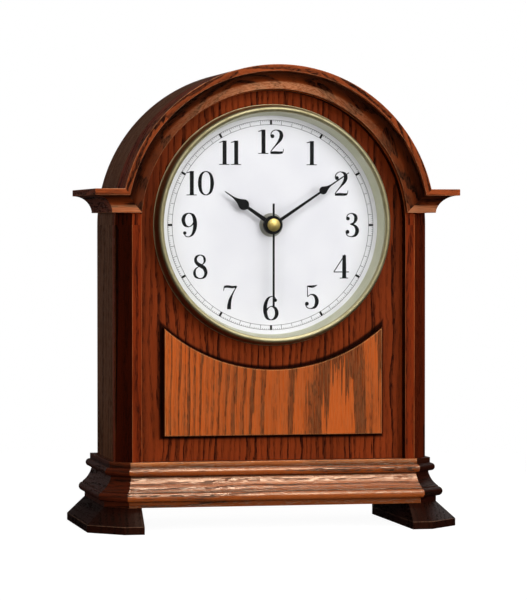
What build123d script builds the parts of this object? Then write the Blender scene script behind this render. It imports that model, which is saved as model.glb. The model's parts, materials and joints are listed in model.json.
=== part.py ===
from build123d import *
from math import acos, cos, pi, radians, sin, sqrt, tan
import os

os.makedirs("parts", exist_ok=True)

# An arched wooden table clock with a quartz movement, in millimetres.
# X runs to the right, Y to the back and Z up from the table top.

# Case
CASE_DEPTH = 83.0
SIDE_HEIGHT = 148.0
SIDE_THICKNESS = 9.0
CANT = 9.5
STILE_WIDTH = 15.5
STILE_DEPTH = 18.0
PANEL_RECESS = 8.5
PANEL_REBATE = 5.0
PANEL_THICKNESS = 6.0
PANEL_CLEARANCE = 0.2

# Hood moulding: a fillet, a small quirk and a cove, the same on the arch and the cornice
HOOD_WIDTH = 14.75
HOOD_PROJECTION = 16.0
HOOD_FILLET = 4.0
HOOD_QUIRK = 0.7
HOOD_COVE_SAG = 2.7
HOOD_FOOT = 1.2
HOOD_FOOT_PROJECTION = 3.6
HOOD_BACKING = 4.0
CORNICE_RISE = 22.5

# Base moulding, from the bottom fillet up to the cap
PLINTH_PROJECTION = 7.0
PLINTH_HEIGHT = 3.6
TORUS_ROOT = 8.3
TORUS_PROJECTION = 10.9
TORUS_HEIGHT = 6.7
TORUS_STEP = 0.7
BASE_COVE_HEIGHT = 6.8
BASE_COVE_SAG = 1.2
NECK_PROJECTION = 3.6
NECK_HEIGHT = 1.0
BEAD_PROJECTION = 6.3
BEAD_HEIGHT = 6.2
CAP_PROJECTION = 3.4
CAP_HEIGHT = 3.0
BASE_SET_BACK = 2.0
BASE_BACK_MARGIN = 9.5

# Feet
FOOT_HEIGHT = 15.5
FOOT_BAND = 4.7
FOOT_OVERHANG = 18.5
FOOT_RUN = 33.0

# Raised panel below the dial
RAISED_WIDTH = 140.0
RAISED_SILL = 15.7
RAISED_BEZEL_GAP = 15.5
RAISED_THICKNESS = 7.0
RAISED_HOLLOW_RADIUS = 106.0
RAISED_CHAMFER = 1.0

# Dial, its pan, the bezel, the lens and the reflector ring
DIAL_RADIUS = 70.2
DIAL_THICKNESS = 0.8
DIAL_SEAT = 3.0
PAN_CLEARANCE = 0.2
PAN_WALL = 1.2
PAN_FLOOR = 2.2
PAN_FLANGE_WIDTH = 6.0
PAN_FLANGE_THICKNESS = 2.0
PAN_HOLE_CLEARANCE = 0.3
BEZEL_MARGIN = 9.3
BEZEL_SEAT = 0.1
BEZEL_HEIGHT = 12.0
BEZEL_FLANGE_WIDTH = 3.2
BEZEL_FLANGE_THICKNESS = 0.9
BEZEL_FOOT_WIDTH = 2.7
BEZEL_SHOULDER_WIDTH = 1.5
BEZEL_RIM = 1.6
BEZEL_LIP_WIDTH = 1.1
BEZEL_LIP = 1.0
LENS_THICKNESS = 1.6
LENS_CLEARANCE = 0.1
REFLECTOR_THICKNESS = 0.7
REFLECTOR_OVERLAP = 1.2

# Movement
MOVEMENT_WALL = 1.2
BAY_WALL = 1.95
WHEEL_ROOM = 1.5
MOTOR_ROOM = 0.3
CELL_DIAMETER = 14.5
CELL_LENGTH = 50.5
CELL_NUB_RADIUS = 2.75
CELL_NUB_LENGTH = 1.3
CELL_PLAY = 0.3
CELL_SEAT = 0.1
CELL_SINK = 0.2
CONTACT_THICKNESS = 0.5
CONTACT_WIDTH = 9.0
PARTITION = 1.0
NECK_RADIUS = 4.0
NECK_REACH = 3.3
NECK_HOLE_CLEARANCE = 0.15
WASHER_RADIUS = 7.5
WASHER_THICKNESS = 0.7
NUT_ACROSS_FLATS = 10.0
NUT_THICKNESS = 2.0
RUNNING_CLEARANCE = 0.08
END_SHAKE = 0.15
SECOND_ARBOR_RADIUS = 0.5
MINUTE_PIPE_RADIUS = 1.5
HOUR_PIPE_RADIUS = 2.4
SETTING_SHAFT_RADIUS = 1.0
ARBOR_RADIUS = 0.6
ROTOR_ARBOR_RADIUS = 0.45
PIVOT_RADIUS = 0.35
PIVOT_LENGTH = 0.7
PIVOT_CLEARANCE = 0.05
KNOB_RADIUS = 5.0
KNOB_LENGTH = 4.5
KNOB_GAP = 0.4
KNOB_FLUTES = 12
KNOB_FLUTE_RADIUS = 0.7

# Wheel train: teeth, centre distances, and directions seen from the front
SECOND_WHEEL_TEETH = 60
SECOND_PINION_TEETH = 8
THIRD_WHEEL_TEETH = 60
THIRD_PINION_TEETH = 8
CENTRE_WHEEL_TEETH = 64
CANNON_TEETH = 12
MOTION_WHEEL_TEETH = 36
MOTION_PINION_TEETH = 10
HOUR_WHEEL_TEETH = 40
IDLER_WHEEL_TEETH = 48
IDLER_PINION_TEETH = 12
ROTOR_PINION_TEETH = 8
THIRD_DISTANCE = 10.2
MOTION_DISTANCE = 10.6
IDLER_DISTANCE = 10.4
ROTOR_DISTANCE = 5.6
THIRD_DIRECTION = 30.0
MOTION_DIRECTION = 180.0
IDLER_DIRECTION = 120.0
ROTOR_DIRECTION = 100.0
WHEEL_THICKNESS = 0.8
PINION_LENGTH = 1.6
LAYER_GAP = 0.4
PRESSURE_ANGLE = radians(20.0)
WHEEL_ADDENDUM = 0.5
PINION_ADDENDUM = 0.9
DEDENDUM = 1.15
BACKLASH = 0.16

# Motor parts and circuit board
MAGNET_RADIUS = 2.8
MAGNET_LENGTH = 2.0
STATOR_GAP = 0.5
STATOR_THICKNESS = 1.2
STATOR_HALF_HEIGHT = 4.6
STATOR_LENGTH = 25.5
STATOR_END = 5.4
STATOR_LEG = 3.0
COIL_RISE = 8.2
COIL_OFFSET = 0.4
COIL_RADIUS = 3.2
COIL_CORE_RADIUS = 1.2
COIL_CLEARANCE = 0.2
BOARD_WIDTH = 10.9
BOARD_GAP = 0.9
BOARD_HEIGHT = 17.0
BOARD_THICKNESS = 1.0
BOARD_INSET = 1.0
POST_RADIUS = 1.2

# Hands, with their rear faces measured forward from the dial
HAND_THICKNESS = 0.5
HOUR_HAND_LEVEL = 4.2
MINUTE_HAND_LEVEL = 6.3
SECOND_HAND_LEVEL = 7.9
PIPE_PROUD = 0.2
HAND_FIT = 0.02
HOUR_HAND_INSET = 33.2
HOUR_POINT = 14.6
HOUR_FLARE = 10.0
HOUR_BULB_RADIUS = 3.4
HOUR_STEM = 3.0
HOUR_HUB_RADIUS = 5.9
HOUR_COLLAR = 0.5
MINUTE_HAND_INSET = 11.2
MINUTE_POINT = 20.0
MINUTE_FLARE = 7.0
MINUTE_BULB_RADIUS = 2.5
MINUTE_STEM = 2.2
MINUTE_HUB_RADIUS = 5.9
MINUTE_COLLAR = 0.9
HAND_NEEDLE = 0.9
HAND_TIP = 0.6
STEM_TAPER = 0.57
SECOND_HAND_INSET = 19.2
SECOND_HAND_TAIL = 13.5
SECOND_HAND_WIDTH = 1.3
SECOND_HUB_RADIUS = 2.6
HUB_CAP_RADIUS = 4.0
HUB_CAP_BAND = 0.6
HUB_CAP_DOME = 1.2
HOUR_ANGLE = 304.7
MINUTE_ANGLE = 56.0
SECOND_ANGLE = 180.0

# Back frame, hinged door, hinges and catch
BACK_THICKNESS = 5.0
BACK_REBATE = 4.5
DOOR_MARGIN = 31.5
DOOR_SILL = 32.0
DOOR_GAP = 0.8
HINGE_END = 23.0
HINGE_LEAF_WIDTH = 9.0
HINGE_LENGTH = 21.0
HINGE_LEAF_THICKNESS = 0.9
KNUCKLE_RADIUS = 1.7
KNUCKLE_GAP = 0.2
KNUCKLE_LIFT = 0.3
KNUCKLES = 3
PIN_RADIUS = 0.8
PIN_CLEARANCE = 0.06
PIN_HEAD = 0.6
DOOR_KNOB_INSET = 10.0
DOOR_KNOB_RADIUS = 4.5
DOOR_KNOB_LENGTH = 8.0
DOOR_KNOB_NECK_RADIUS = 2.4
DOOR_KNOB_NECK_LENGTH = 2.7
CATCH_HEIGHT = 12.0
CATCH_LENGTH = 10.0
CATCH_DEPTH = 8.0
CATCH_NOSE = 9.0
CATCH_GAP = 0.3
STRIKE_THICKNESS = 0.8

# Dial group from the dial outwards, and the case round it
PAN_BORE = DIAL_RADIUS + PAN_CLEARANCE
PAN_RADIUS = PAN_BORE + PAN_WALL
PAN_HOLE = PAN_RADIUS + PAN_HOLE_CLEARANCE
BEZEL_BORE = PAN_HOLE + BEZEL_SEAT
BEZEL_RADIUS = BEZEL_BORE + BEZEL_FLANGE_WIDTH
FRAME_RADIUS = BEZEL_RADIUS + BEZEL_MARGIN
ARCH_RADIUS = FRAME_RADIUS + STILE_WIDTH
CASE_WIDTH = 2 * ARCH_RADIUS

# Places that follow from the sizes
BASE_HEIGHT = (PLINTH_HEIGHT + TORUS_HEIGHT + TORUS_STEP + BASE_COVE_HEIGHT + NECK_HEIGHT
               + BEAD_HEIGHT + CAP_HEIGHT)
BASE_TOP = FOOT_HEIGHT + BASE_HEIGHT
ARCH_Z = BASE_TOP + SIDE_HEIGHT
CORNICE_TOP = ARCH_Z + CORNICE_RISE
CORNICE_BOTTOM = CORNICE_TOP - HOOD_WIDTH
STILE_FRONT = (FOOT_OVERHANG - BASE_SET_BACK - CASE_DEPTH - BASE_BACK_MARGIN) / 2
STILE_BACK = STILE_FRONT + STILE_DEPTH
CASE_BACK = STILE_FRONT + CASE_DEPTH
BASE_FRONT = STILE_FRONT + BASE_SET_BACK
BASE_BACK = CASE_BACK + BASE_BACK_MARGIN
PANEL_FRONT = STILE_FRONT + PANEL_RECESS
PANEL_BACK = PANEL_FRONT + PANEL_THICKNESS
DIAL_FRONT = PANEL_FRONT + DIAL_SEAT
DIAL_BACK = DIAL_FRONT + DIAL_THICKNESS
BEZEL_FRONT = PANEL_FRONT - BEZEL_HEIGHT
LENS_FRONT = BEZEL_FRONT + BEZEL_RIM + BEZEL_LIP
LENS_BACK = LENS_FRONT + LENS_THICKNESS
MOVEMENT_FRONT = DIAL_BACK + PAN_FLOOR
CHAMBER_FRONT = MOVEMENT_FRONT + MOVEMENT_WALL
BACK_FRONT = CASE_BACK - BACK_THICKNESS
BACK_RADIUS = ARCH_RADIUS - SIDE_THICKNESS + BACK_REBATE
DOOR_HALF_WIDTH = BACK_RADIUS - DOOR_MARGIN
DOOR_BOTTOM = BASE_TOP + DOOR_SILL
DOOR_MIDDLE = (DOOR_BOTTOM + ARCH_Z) / 2
BIG = 4 * CASE_WIDTH
CUT_MARGIN = 1.0


def on_front(x, y, z):
    """Work plane that faces forward, with X to the right and Z up."""
    return Plane(origin=(x, y, z), x_dir=(1, 0, 0), z_dir=(0, -1, 0))


def along_y(sketch, front, back, x=0.0, z=0.0):
    """Sketch drawn in X and Z about a point, made solid from its front to its back."""
    return extrude(on_front(x, back, z) * sketch, amount=back - front, dir=(0, -1, 0))


def upward(plan, low, high):
    """Plan outline, as a list of (X, Y) corners, made solid between two heights."""
    return extrude(Pos(0, 0, low) * Polygon(*plan, align=None), amount=high - low, dir=(0, 0, 1))


def disc(radius, front, back, x=0.0, z=ARCH_Z):
    """Round bar along Y."""
    return along_y(Circle(radius), front, back, x, z)


def block(low, high):
    """Rectangular block between two opposite corners."""
    size = [b - a for a, b in zip(low, high)]
    return Pos(*low) * Box(*size, align=(Align.MIN, Align.MIN, Align.MIN))


def turned(points, z=ARCH_Z):
    """Ring turned about the dial axis from a section of (radius, depth) points."""
    section = Pos(0, 0, z) * Polygon(*points, align=None)
    return revolve(section, Axis((0, 0, z), (0, 1, 0)))


def arched(half_width, radius, bottom):
    """Flat outline with straight sides up to the arch's centre and a round top."""
    height = ARCH_Z - bottom
    sides = Pos(0, -height / 2) * Rectangle(2 * half_width, height)
    crown = Circle(radius) - Pos(0, -radius) * Rectangle(4 * radius, 2 * radius)
    return sides + crown


def mirrored(shape):
    """The same piece on the other side of the clock."""
    return mirror(shape, about=Plane.YZ)


def save(name, shape):
    """Writes one piece, or one group of equal pieces, to its own file."""
    export_step(shape, f"parts/{name}.step")


def save_pair(name, left):
    """Writes a left piece and its mirror image."""
    save(f"{name}_left", left)
    save(f"{name}_right", mirrored(left))


# Base and feet


def base_outline(offset):
    """Corners of the base in plan from back left to back right, moved out by an offset."""
    side = CASE_WIDTH / 2 + offset
    front = BASE_FRONT - offset
    cant = CANT + offset * (2 - sqrt(2))
    left = [(-side, BASE_BACK), (-side, front + cant), (-side + cant, front)]
    right = [(-x, y) for x, y in reversed(left)]
    return left + right


def base_profile():
    """Section of the base moulding as projection and height above the foot."""
    heights = [0.0]
    for step in (PLINTH_HEIGHT, TORUS_HEIGHT, TORUS_STEP, BASE_COVE_HEIGHT, NECK_HEIGHT, BEAD_HEIGHT):
        heights.append(heights[-1] + step)
    floor, torus, step, cove, neck, bead, cap = heights
    top = BASE_HEIGHT
    edges = [
        Polyline((0, top), (0, floor), (PLINTH_PROJECTION, floor), (PLINTH_PROJECTION, torus),
                 (TORUS_ROOT, torus)),
        ThreePointArc((TORUS_ROOT, torus), (TORUS_PROJECTION, (torus + step) / 2), (TORUS_ROOT, step)),
        Line((TORUS_ROOT, step), (TORUS_ROOT, cove)),
        SagittaArc((TORUS_ROOT, cove), (NECK_PROJECTION, neck), BASE_COVE_SAG),
        Line((NECK_PROJECTION, neck), (NECK_PROJECTION, bead)),
        ThreePointArc((NECK_PROJECTION, bead), (BEAD_PROJECTION, (bead + cap) / 2), (NECK_PROJECTION, cap)),
        Polyline((NECK_PROJECTION, cap), (CAP_PROJECTION, cap), (CAP_PROJECTION, top), (0, top)),
    ]
    return make_face(edges)


def straight_moulding(profile, origin, outward, plan, low, high):
    """Moulding carried along one face and mitred to its plan."""
    along = Vector(*outward).cross(Vector(0, 0, 1))
    bar = extrude(Plane(origin=origin, x_dir=outward, z_dir=along) * profile, amount=BIG, both=True)
    return bar & upward(plan, low, high)


def base_moulding(run):
    """One mitred length of the base moulding, counted from the back left corner."""
    inner = base_outline(0.0)[run:run + 2]
    outer = base_outline(TORUS_PROJECTION + CUT_MARGIN)[run:run + 2]
    (x0, y0), (x1, y1) = inner
    length = sqrt((x1 - x0) ** 2 + (y1 - y0) ** 2)
    outward = ((y1 - y0) / length, -(x1 - x0) / length, 0)
    plan = [inner[0], inner[1], outer[1], outer[0]]
    return straight_moulding(base_profile(), (x0, y0, FOOT_HEIGHT), outward, plan, FOOT_HEIGHT, BASE_TOP)


def foot():
    """Left runner foot: an upright band at the table and a slope up to the plinth."""
    spread = Polygon(*base_outline(FOOT_OVERHANG), align=None)
    neck = Polygon(*base_outline(PLINTH_PROJECTION), align=None)
    band = upward(base_outline(FOOT_OVERHANG), 0, FOOT_BAND)
    slope = loft([Pos(0, 0, FOOT_BAND) * spread, Pos(0, 0, FOOT_HEIGHT) * neck], ruled=True)
    inner_end = FOOT_RUN - FOOT_OVERHANG - CASE_WIDTH / 2
    return (band + slope) & block((-BIG, -BIG, 0), (inner_end, BIG, FOOT_HEIGHT))


# Case


def cant_wedge():
    """What the cant takes off the front left corner, up to the foot of the cornice."""
    corner = (-CASE_WIDTH / 2, STILE_FRONT)
    reach = CANT + CUT_MARGIN
    plan = [(corner[0] - CUT_MARGIN, corner[1] - CUT_MARGIN), (corner[0] + reach, corner[1] - CUT_MARGIN),
            (corner[0] - CUT_MARGIN, corner[1] + reach)]
    return upward(plan, BASE_TOP, CORNICE_BOTTOM)


def stile():
    """Left front stile with its cant and the rebate for the front panel."""
    outer = -CASE_WIDTH / 2
    inner = outer + STILE_WIDTH
    plan = [(outer, STILE_FRONT), (inner, STILE_FRONT), (inner, PANEL_FRONT),
            (inner - PANEL_REBATE, PANEL_FRONT), (inner - PANEL_REBATE, STILE_BACK), (outer, STILE_BACK)]
    return upward(plan, BASE_TOP, ARCH_Z) - cant_wedge()


def half_turn(points):
    """Half ring over the arch from a section of (radius, depth) points."""
    section = Pos(0, 0, ARCH_Z) * Polygon(*points, align=None)
    return revolve(section, Axis((0, 0, ARCH_Z), (0, -1, 0)), 180)


def arch_rail():
    """Curved front rail, with the same rebate as the stiles."""
    rebate = FRAME_RADIUS + PANEL_REBATE
    ring = half_turn([(ARCH_RADIUS, STILE_FRONT), (FRAME_RADIUS, STILE_FRONT), (FRAME_RADIUS, PANEL_FRONT),
                      (rebate, PANEL_FRONT), (rebate, STILE_BACK), (ARCH_RADIUS, STILE_BACK)])
    return ring - cant_wedge() - mirrored(cant_wedge())


def shell_section():
    """Section of the sides and the top shell, as distance from the middle and depth."""
    inner = ARCH_RADIUS - SIDE_THICKNESS
    return [(ARCH_RADIUS, STILE_BACK), (inner, STILE_BACK), (inner, BACK_FRONT), (BACK_RADIUS, BACK_FRONT),
            (BACK_RADIUS, CASE_BACK), (ARCH_RADIUS, CASE_BACK)]


def side_board():
    """Left side board, rebated at the back for the back frame."""
    plan = [(-x, y) for x, y in shell_section()]
    return upward(plan, BASE_TOP, ARCH_Z)


def hood_profile(place, backing=0.0):
    """Section of the hood moulding; place turns (distance from the top edge, projection) into a point."""
    cove_top = (HOOD_FILLET, HOOD_PROJECTION - HOOD_QUIRK)
    cove_end = (HOOD_WIDTH - HOOD_FOOT, HOOD_FOOT_PROJECTION)
    chord = sqrt((cove_end[0] - cove_top[0]) ** 2 + (cove_end[1] - cove_top[1]) ** 2)
    lean = ((cove_end[1] - cove_top[1]) / chord, -(cove_end[0] - cove_top[0]) / chord)
    cove_middle = [(a + b) / 2 + HOOD_COVE_SAG * n for a, b, n in zip(cove_top, cove_end, lean)]
    start = [(0, -backing), (0, HOOD_PROJECTION), (HOOD_FILLET, HOOD_PROJECTION), cove_top]
    end = [cove_end, (HOOD_WIDTH, HOOD_FOOT_PROJECTION), (HOOD_WIDTH, -backing), (0, -backing)]
    edges = [
        Polyline(*[place(*point) for point in start]),
        ThreePointArc(place(*cove_top), place(*cove_middle), place(*cove_end)),
        Polyline(*[place(*point) for point in end]),
    ]
    return make_face(edges)


def springing_mitre():
    """Outer and inner end of the left mitre between arch and cornice, each drawn out beyond the wood."""
    inner_radius = ARCH_RADIUS - HOOD_WIDTH
    outer = Vector(-sqrt(ARCH_RADIUS ** 2 - CORNICE_RISE ** 2), CORNICE_TOP)
    inner = Vector(-sqrt(inner_radius ** 2 - (CORNICE_RISE - HOOD_WIDTH) ** 2), CORNICE_BOTTOM)
    reach = (outer - inner).normalized() * HOOD_WIDTH
    return outer + reach, inner - reach


def arch_moulding():
    """Hood moulding turned round the arch and cut at both springing mitres."""
    section = hood_profile(lambda down, out: (ARCH_RADIUS - down, STILE_FRONT - out))
    ring = revolve(Pos(0, 0, ARCH_Z) * section, Axis((0, 0, ARCH_Z), (0, -1, 0)), 180)
    outer, inner = springing_mitre()
    zone = [(outer.X, outer.Y), (inner.X, inner.Y), (-inner.X, inner.Y), (-outer.X, outer.Y),
            (BIG, outer.Y), (BIG, BIG), (-BIG, BIG), (-BIG, outer.Y)]
    return ring & along_y(Polygon(*zone, align=None), STILE_FRONT - HOOD_PROJECTION, STILE_FRONT)


def cornice_front():
    """Left front length of the cornice, mitred to the arch and to the side cornice."""
    reach = HOOD_PROJECTION + CUT_MARGIN
    side = -CASE_WIDTH / 2
    plan = [(side, STILE_FRONT), (side - reach, STILE_FRONT - reach), (0, STILE_FRONT - reach),
            (0, STILE_FRONT)]
    section = hood_profile(lambda down, out: (out, -down))
    run = straight_moulding(section, (0, STILE_FRONT, CORNICE_TOP), (0, -1, 0), plan,
                            CORNICE_BOTTOM, CORNICE_TOP)
    outer, inner = springing_mitre()
    zone = [(outer.X, outer.Y), (-BIG, outer.Y), (-BIG, inner.Y), (inner.X, inner.Y)]
    return run & along_y(Polygon(*zone, align=None), STILE_FRONT - HOOD_PROJECTION, STILE_FRONT)


def cornice_side():
    """Left side length of the cornice, hollowed behind to sit on the arch."""
    reach = HOOD_PROJECTION + CUT_MARGIN
    side = -CASE_WIDTH / 2
    plan = [(side, STILE_FRONT), (side - reach, STILE_FRONT - reach), (side - reach, CASE_BACK),
            (side + HOOD_BACKING, CASE_BACK), (side + HOOD_BACKING, STILE_FRONT)]
    section = hood_profile(lambda down, out: (out, -down), HOOD_BACKING)
    run = straight_moulding(section, (side, 0, CORNICE_TOP), (-1, 0, 0), plan, CORNICE_BOTTOM, CORNICE_TOP)
    return run - disc(ARCH_RADIUS, STILE_FRONT - reach, CASE_BACK + CUT_MARGIN)


def front_panel():
    """Recessed board behind the stiles, with the hole for the dial pan."""
    half_width = FRAME_RADIUS + PANEL_REBATE - PANEL_CLEARANCE
    board = arched(half_width, half_width, BASE_TOP) - Circle(PAN_HOLE)
    return along_y(board, PANEL_FRONT, PANEL_BACK, z=ARCH_Z)


def raised_panel():
    """Applied panel with a hollowed top edge and eased front edges."""
    half_width = RAISED_WIDTH / 2
    low = BASE_TOP + RAISED_SILL
    hollow = ARCH_Z - BEZEL_RADIUS - RAISED_BEZEL_GAP
    high = hollow + RAISED_HOLLOW_RADIUS - sqrt(RAISED_HOLLOW_RADIUS ** 2 - half_width ** 2)
    edges = [
        Polyline((half_width, high), (half_width, low), (-half_width, low), (-half_width, high)),
        ThreePointArc((-half_width, high), (0, hollow), (half_width, high)),
    ]
    front = PANEL_FRONT - RAISED_THICKNESS
    board = along_y(make_face(edges), front, PANEL_FRONT)
    return chamfer(board.faces().sort_by(Axis.Y)[0].edges(), RAISED_CHAMFER)


# Dial group


def dial_pan():
    """Moulded pan behind the dial, with a flange on the back of the front panel."""
    neck_hole = NECK_RADIUS + NECK_HOLE_CLEARANCE
    flange_back = PANEL_BACK + PAN_FLANGE_THICKNESS
    flange_radius = PAN_RADIUS + PAN_FLANGE_WIDTH
    wall = turned([(PAN_BORE, PANEL_FRONT), (PAN_RADIUS, PANEL_FRONT), (PAN_RADIUS, PANEL_BACK),
                   (flange_radius, PANEL_BACK), (flange_radius, flange_back), (PAN_BORE, flange_back)])
    floor = turned([(neck_hole, DIAL_BACK), (PAN_BORE, DIAL_BACK), (PAN_BORE, MOVEMENT_FRONT),
                    (neck_hole, MOVEMENT_FRONT)])
    return wall + floor


def bezel():
    """Brass ring with a flat flange, a tapered wall, a rounded rim and a lip over the lens."""
    flange_front = PANEL_FRONT - BEZEL_FLANGE_THICKNESS
    shoulder = (BEZEL_BORE + BEZEL_SHOULDER_WIDTH, BEZEL_FRONT + BEZEL_RIM)
    lip = (BEZEL_BORE - BEZEL_LIP_WIDTH, BEZEL_FRONT + BEZEL_RIM)
    crest = ((shoulder[0] + lip[0]) / 2, BEZEL_FRONT)
    edges = [
        Polyline(lip, (lip[0], LENS_FRONT), (BEZEL_BORE, LENS_FRONT), (BEZEL_BORE, PANEL_FRONT),
                 (BEZEL_RADIUS, PANEL_FRONT), (BEZEL_RADIUS, flange_front),
                 (BEZEL_BORE + BEZEL_FOOT_WIDTH, flange_front), shoulder),
        ThreePointArc(shoulder, crest, lip),
    ]
    return revolve(Pos(0, 0, ARCH_Z) * make_face(edges), Axis((0, 0, ARCH_Z), (0, 1, 0)))


def reflector():
    """Conical ring between the lens and the dial."""
    front = BEZEL_BORE - 2 * LENS_CLEARANCE
    inside = DIAL_RADIUS - REFLECTOR_OVERLAP
    return turned([(front, LENS_BACK), (inside + REFLECTOR_THICKNESS, DIAL_FRONT), (inside, DIAL_FRONT),
                   (front - REFLECTOR_THICKNESS, LENS_BACK)])


# Wheel train


def tooth_half_angle(teeth, radius_share):
    """Half the angle of an involute tooth at a share of the pitch radius, less the backlash."""
    share = max(radius_share, cos(PRESSURE_ANGLE))
    angle = acos(cos(PRESSURE_ANGLE) / share)
    at_pitch = pi / (2 * teeth) * (1 - BACKLASH)
    return at_pitch + tan(PRESSURE_ANGLE) - PRESSURE_ANGLE - (tan(angle) - angle)


def gear(teeth, module, addendum, phase):
    """Toothed disc with one tooth at the phase angle."""
    pitch = module * teeth / 2
    root = pitch - DEDENDUM * module
    tip = pitch + addendum * module
    points = []
    for index in range(teeth):
        middle = phase + 2 * pi * index / teeth
        for radius, side in ((root, -1), (tip, -1), (tip, 1), (root, 1)):
            angle = middle + side * tooth_half_angle(teeth, radius / pitch)
            points.append((radius * cos(angle), radius * sin(angle)))
    return Polygon(*points, align=None)


def meshed_phase(direction, phase, teeth, other_teeth):
    """Phase that puts a gap of the other gear at a tooth of this one, seen along their direction."""
    turn = radians(direction)
    return turn + pi - (teeth * (phase - turn) + pi) / other_teeth


def polar(distance, direction, start=(0.0, 0.0)):
    """Point at a distance and direction from another, in X and Z about the dial axis."""
    turn = radians(direction)
    return start[0] + distance * cos(turn), start[1] + distance * sin(turn)


THIRD_AT = polar(THIRD_DISTANCE, THIRD_DIRECTION)
MOTION_AT = polar(MOTION_DISTANCE, MOTION_DIRECTION)
IDLER_AT = polar(IDLER_DISTANCE, IDLER_DIRECTION)
ROTOR_AT = polar(ROTOR_DISTANCE, ROTOR_DIRECTION, IDLER_AT)
PIVOTED = (THIRD_AT, IDLER_AT, ROTOR_AT)

# Modules, so that both gears of a pair fill their centre distance
THIRD_MODULE = 2 * THIRD_DISTANCE / (SECOND_PINION_TEETH + THIRD_WHEEL_TEETH)
CENTRE_MODULE = 2 * THIRD_DISTANCE / (THIRD_PINION_TEETH + CENTRE_WHEEL_TEETH)
MOTION_MODULE = 2 * MOTION_DISTANCE / (CANNON_TEETH + MOTION_WHEEL_TEETH)
HOUR_MODULE = 2 * MOTION_DISTANCE / (MOTION_PINION_TEETH + HOUR_WHEEL_TEETH)
IDLER_MODULE = 2 * ROTOR_DISTANCE / (ROTOR_PINION_TEETH + IDLER_WHEEL_TEETH)
SECOND_MODULE = 2 * IDLER_DISTANCE / (IDLER_PINION_TEETH + SECOND_WHEEL_TEETH)

# Depths of the layers, counted back from the front wall of the chamber
HOUR_LAYER = CHAMBER_FRONT + LAYER_GAP
CANNON_LAYER = HOUR_LAYER + WHEEL_THICKNESS + LAYER_GAP
CENTRE_LAYER = CANNON_LAYER + PINION_LENGTH + LAYER_GAP
THIRD_LAYER = CENTRE_LAYER + PINION_LENGTH + LAYER_GAP
SECOND_LAYER = THIRD_LAYER + PINION_LENGTH + LAYER_GAP
IDLER_LAYER = SECOND_LAYER + WHEEL_THICKNESS + LAYER_GAP
ROTOR_LAYER = IDLER_LAYER + WHEEL_THICKNESS + LAYER_GAP
STATOR_FRONT = ROTOR_LAYER + (MAGNET_LENGTH - STATOR_THICKNESS) / 2
COIL_Y = STATOR_FRONT - COIL_OFFSET

# The movement is as deep as the coil over the train and the cell below it need
CELL_Y = CHAMBER_FRONT + CELL_SEAT + CELL_DIAMETER / 2
CHAMBER_BACK = max(COIL_Y + COIL_RADIUS + LAYER_GAP, CELL_Y + CELL_DIAMETER / 2 + CELL_SINK - MOVEMENT_WALL)
MOVEMENT_BACK = CHAMBER_BACK + MOVEMENT_WALL


def wheel(teeth, module, phase, front, at=(0.0, 0.0)):
    """Flat toothed wheel one wheel thick."""
    outline = gear(teeth, module, WHEEL_ADDENDUM, phase)
    return along_y(outline, front, front + WHEEL_THICKNESS, at[0], ARCH_Z + at[1])


def pinion(teeth, module, phase, front, back, at=(0.0, 0.0)):
    """Toothed bar with long teeth."""
    outline = gear(teeth, module, PINION_ADDENDUM, phase)
    return along_y(outline, front, back, at[0], ARCH_Z + at[1])


def arbor(radius, at):
    """Arbor between the front wall and the rear cover, with a pivot at each end."""
    place = (at[0], ARCH_Z + at[1])
    front = CHAMBER_FRONT + END_SHAKE
    back = CHAMBER_BACK - END_SHAKE
    pivots = disc(PIVOT_RADIUS, front - PIVOT_LENGTH, back + PIVOT_LENGTH, *place)
    return disc(radius, front, back, *place) + pivots


def second_arbor():
    """Second wheel and pinion on the arbor that carries the second hand."""
    front = DIAL_FRONT - SECOND_HAND_LEVEL - HAND_THICKNESS - PIPE_PROUD
    back = CHAMBER_BACK - END_SHAKE
    spindle = disc(SECOND_ARBOR_RADIUS, front, back) + disc(PIVOT_RADIUS, back, back + PIVOT_LENGTH)
    phase = meshed_phase(IDLER_DIRECTION + 180, 0.0, IDLER_PINION_TEETH, SECOND_WHEEL_TEETH)
    pinion_front = THIRD_LAYER - LAYER_GAP / 2
    return (spindle + wheel(SECOND_WHEEL_TEETH, SECOND_MODULE, phase, SECOND_LAYER)
            + pinion(SECOND_PINION_TEETH, THIRD_MODULE, 0.0, pinion_front, SECOND_LAYER))


def third_wheel():
    """Wheel driven by the second pinion, with the pinion that drives the centre wheel."""
    phase = meshed_phase(THIRD_DIRECTION, 0.0, SECOND_PINION_TEETH, THIRD_WHEEL_TEETH)
    pinion_front = CENTRE_LAYER - LAYER_GAP / 2
    return (arbor(ARBOR_RADIUS, THIRD_AT)
            + wheel(THIRD_WHEEL_TEETH, THIRD_MODULE, phase, THIRD_LAYER, THIRD_AT)
            + pinion(THIRD_PINION_TEETH, CENTRE_MODULE, 0.0, pinion_front, THIRD_LAYER, THIRD_AT))


def minute_pipe():
    """Centre wheel and cannon pinion on the pipe that carries the minute hand."""
    front = DIAL_FRONT - MINUTE_HAND_LEVEL - HAND_THICKNESS - PIPE_PROUD
    back = CENTRE_LAYER + PINION_LENGTH
    phase = meshed_phase(THIRD_DIRECTION + 180, 0.0, THIRD_PINION_TEETH, CENTRE_WHEEL_TEETH)
    pipe = (disc(MINUTE_PIPE_RADIUS, front, back)
            + wheel(CENTRE_WHEEL_TEETH, CENTRE_MODULE, phase, CENTRE_LAYER)
            + pinion(CANNON_TEETH, MOTION_MODULE, 0.0, CANNON_LAYER, CENTRE_LAYER))
    return pipe - disc(SECOND_ARBOR_RADIUS + RUNNING_CLEARANCE, front - CUT_MARGIN, back + CUT_MARGIN)


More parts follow.
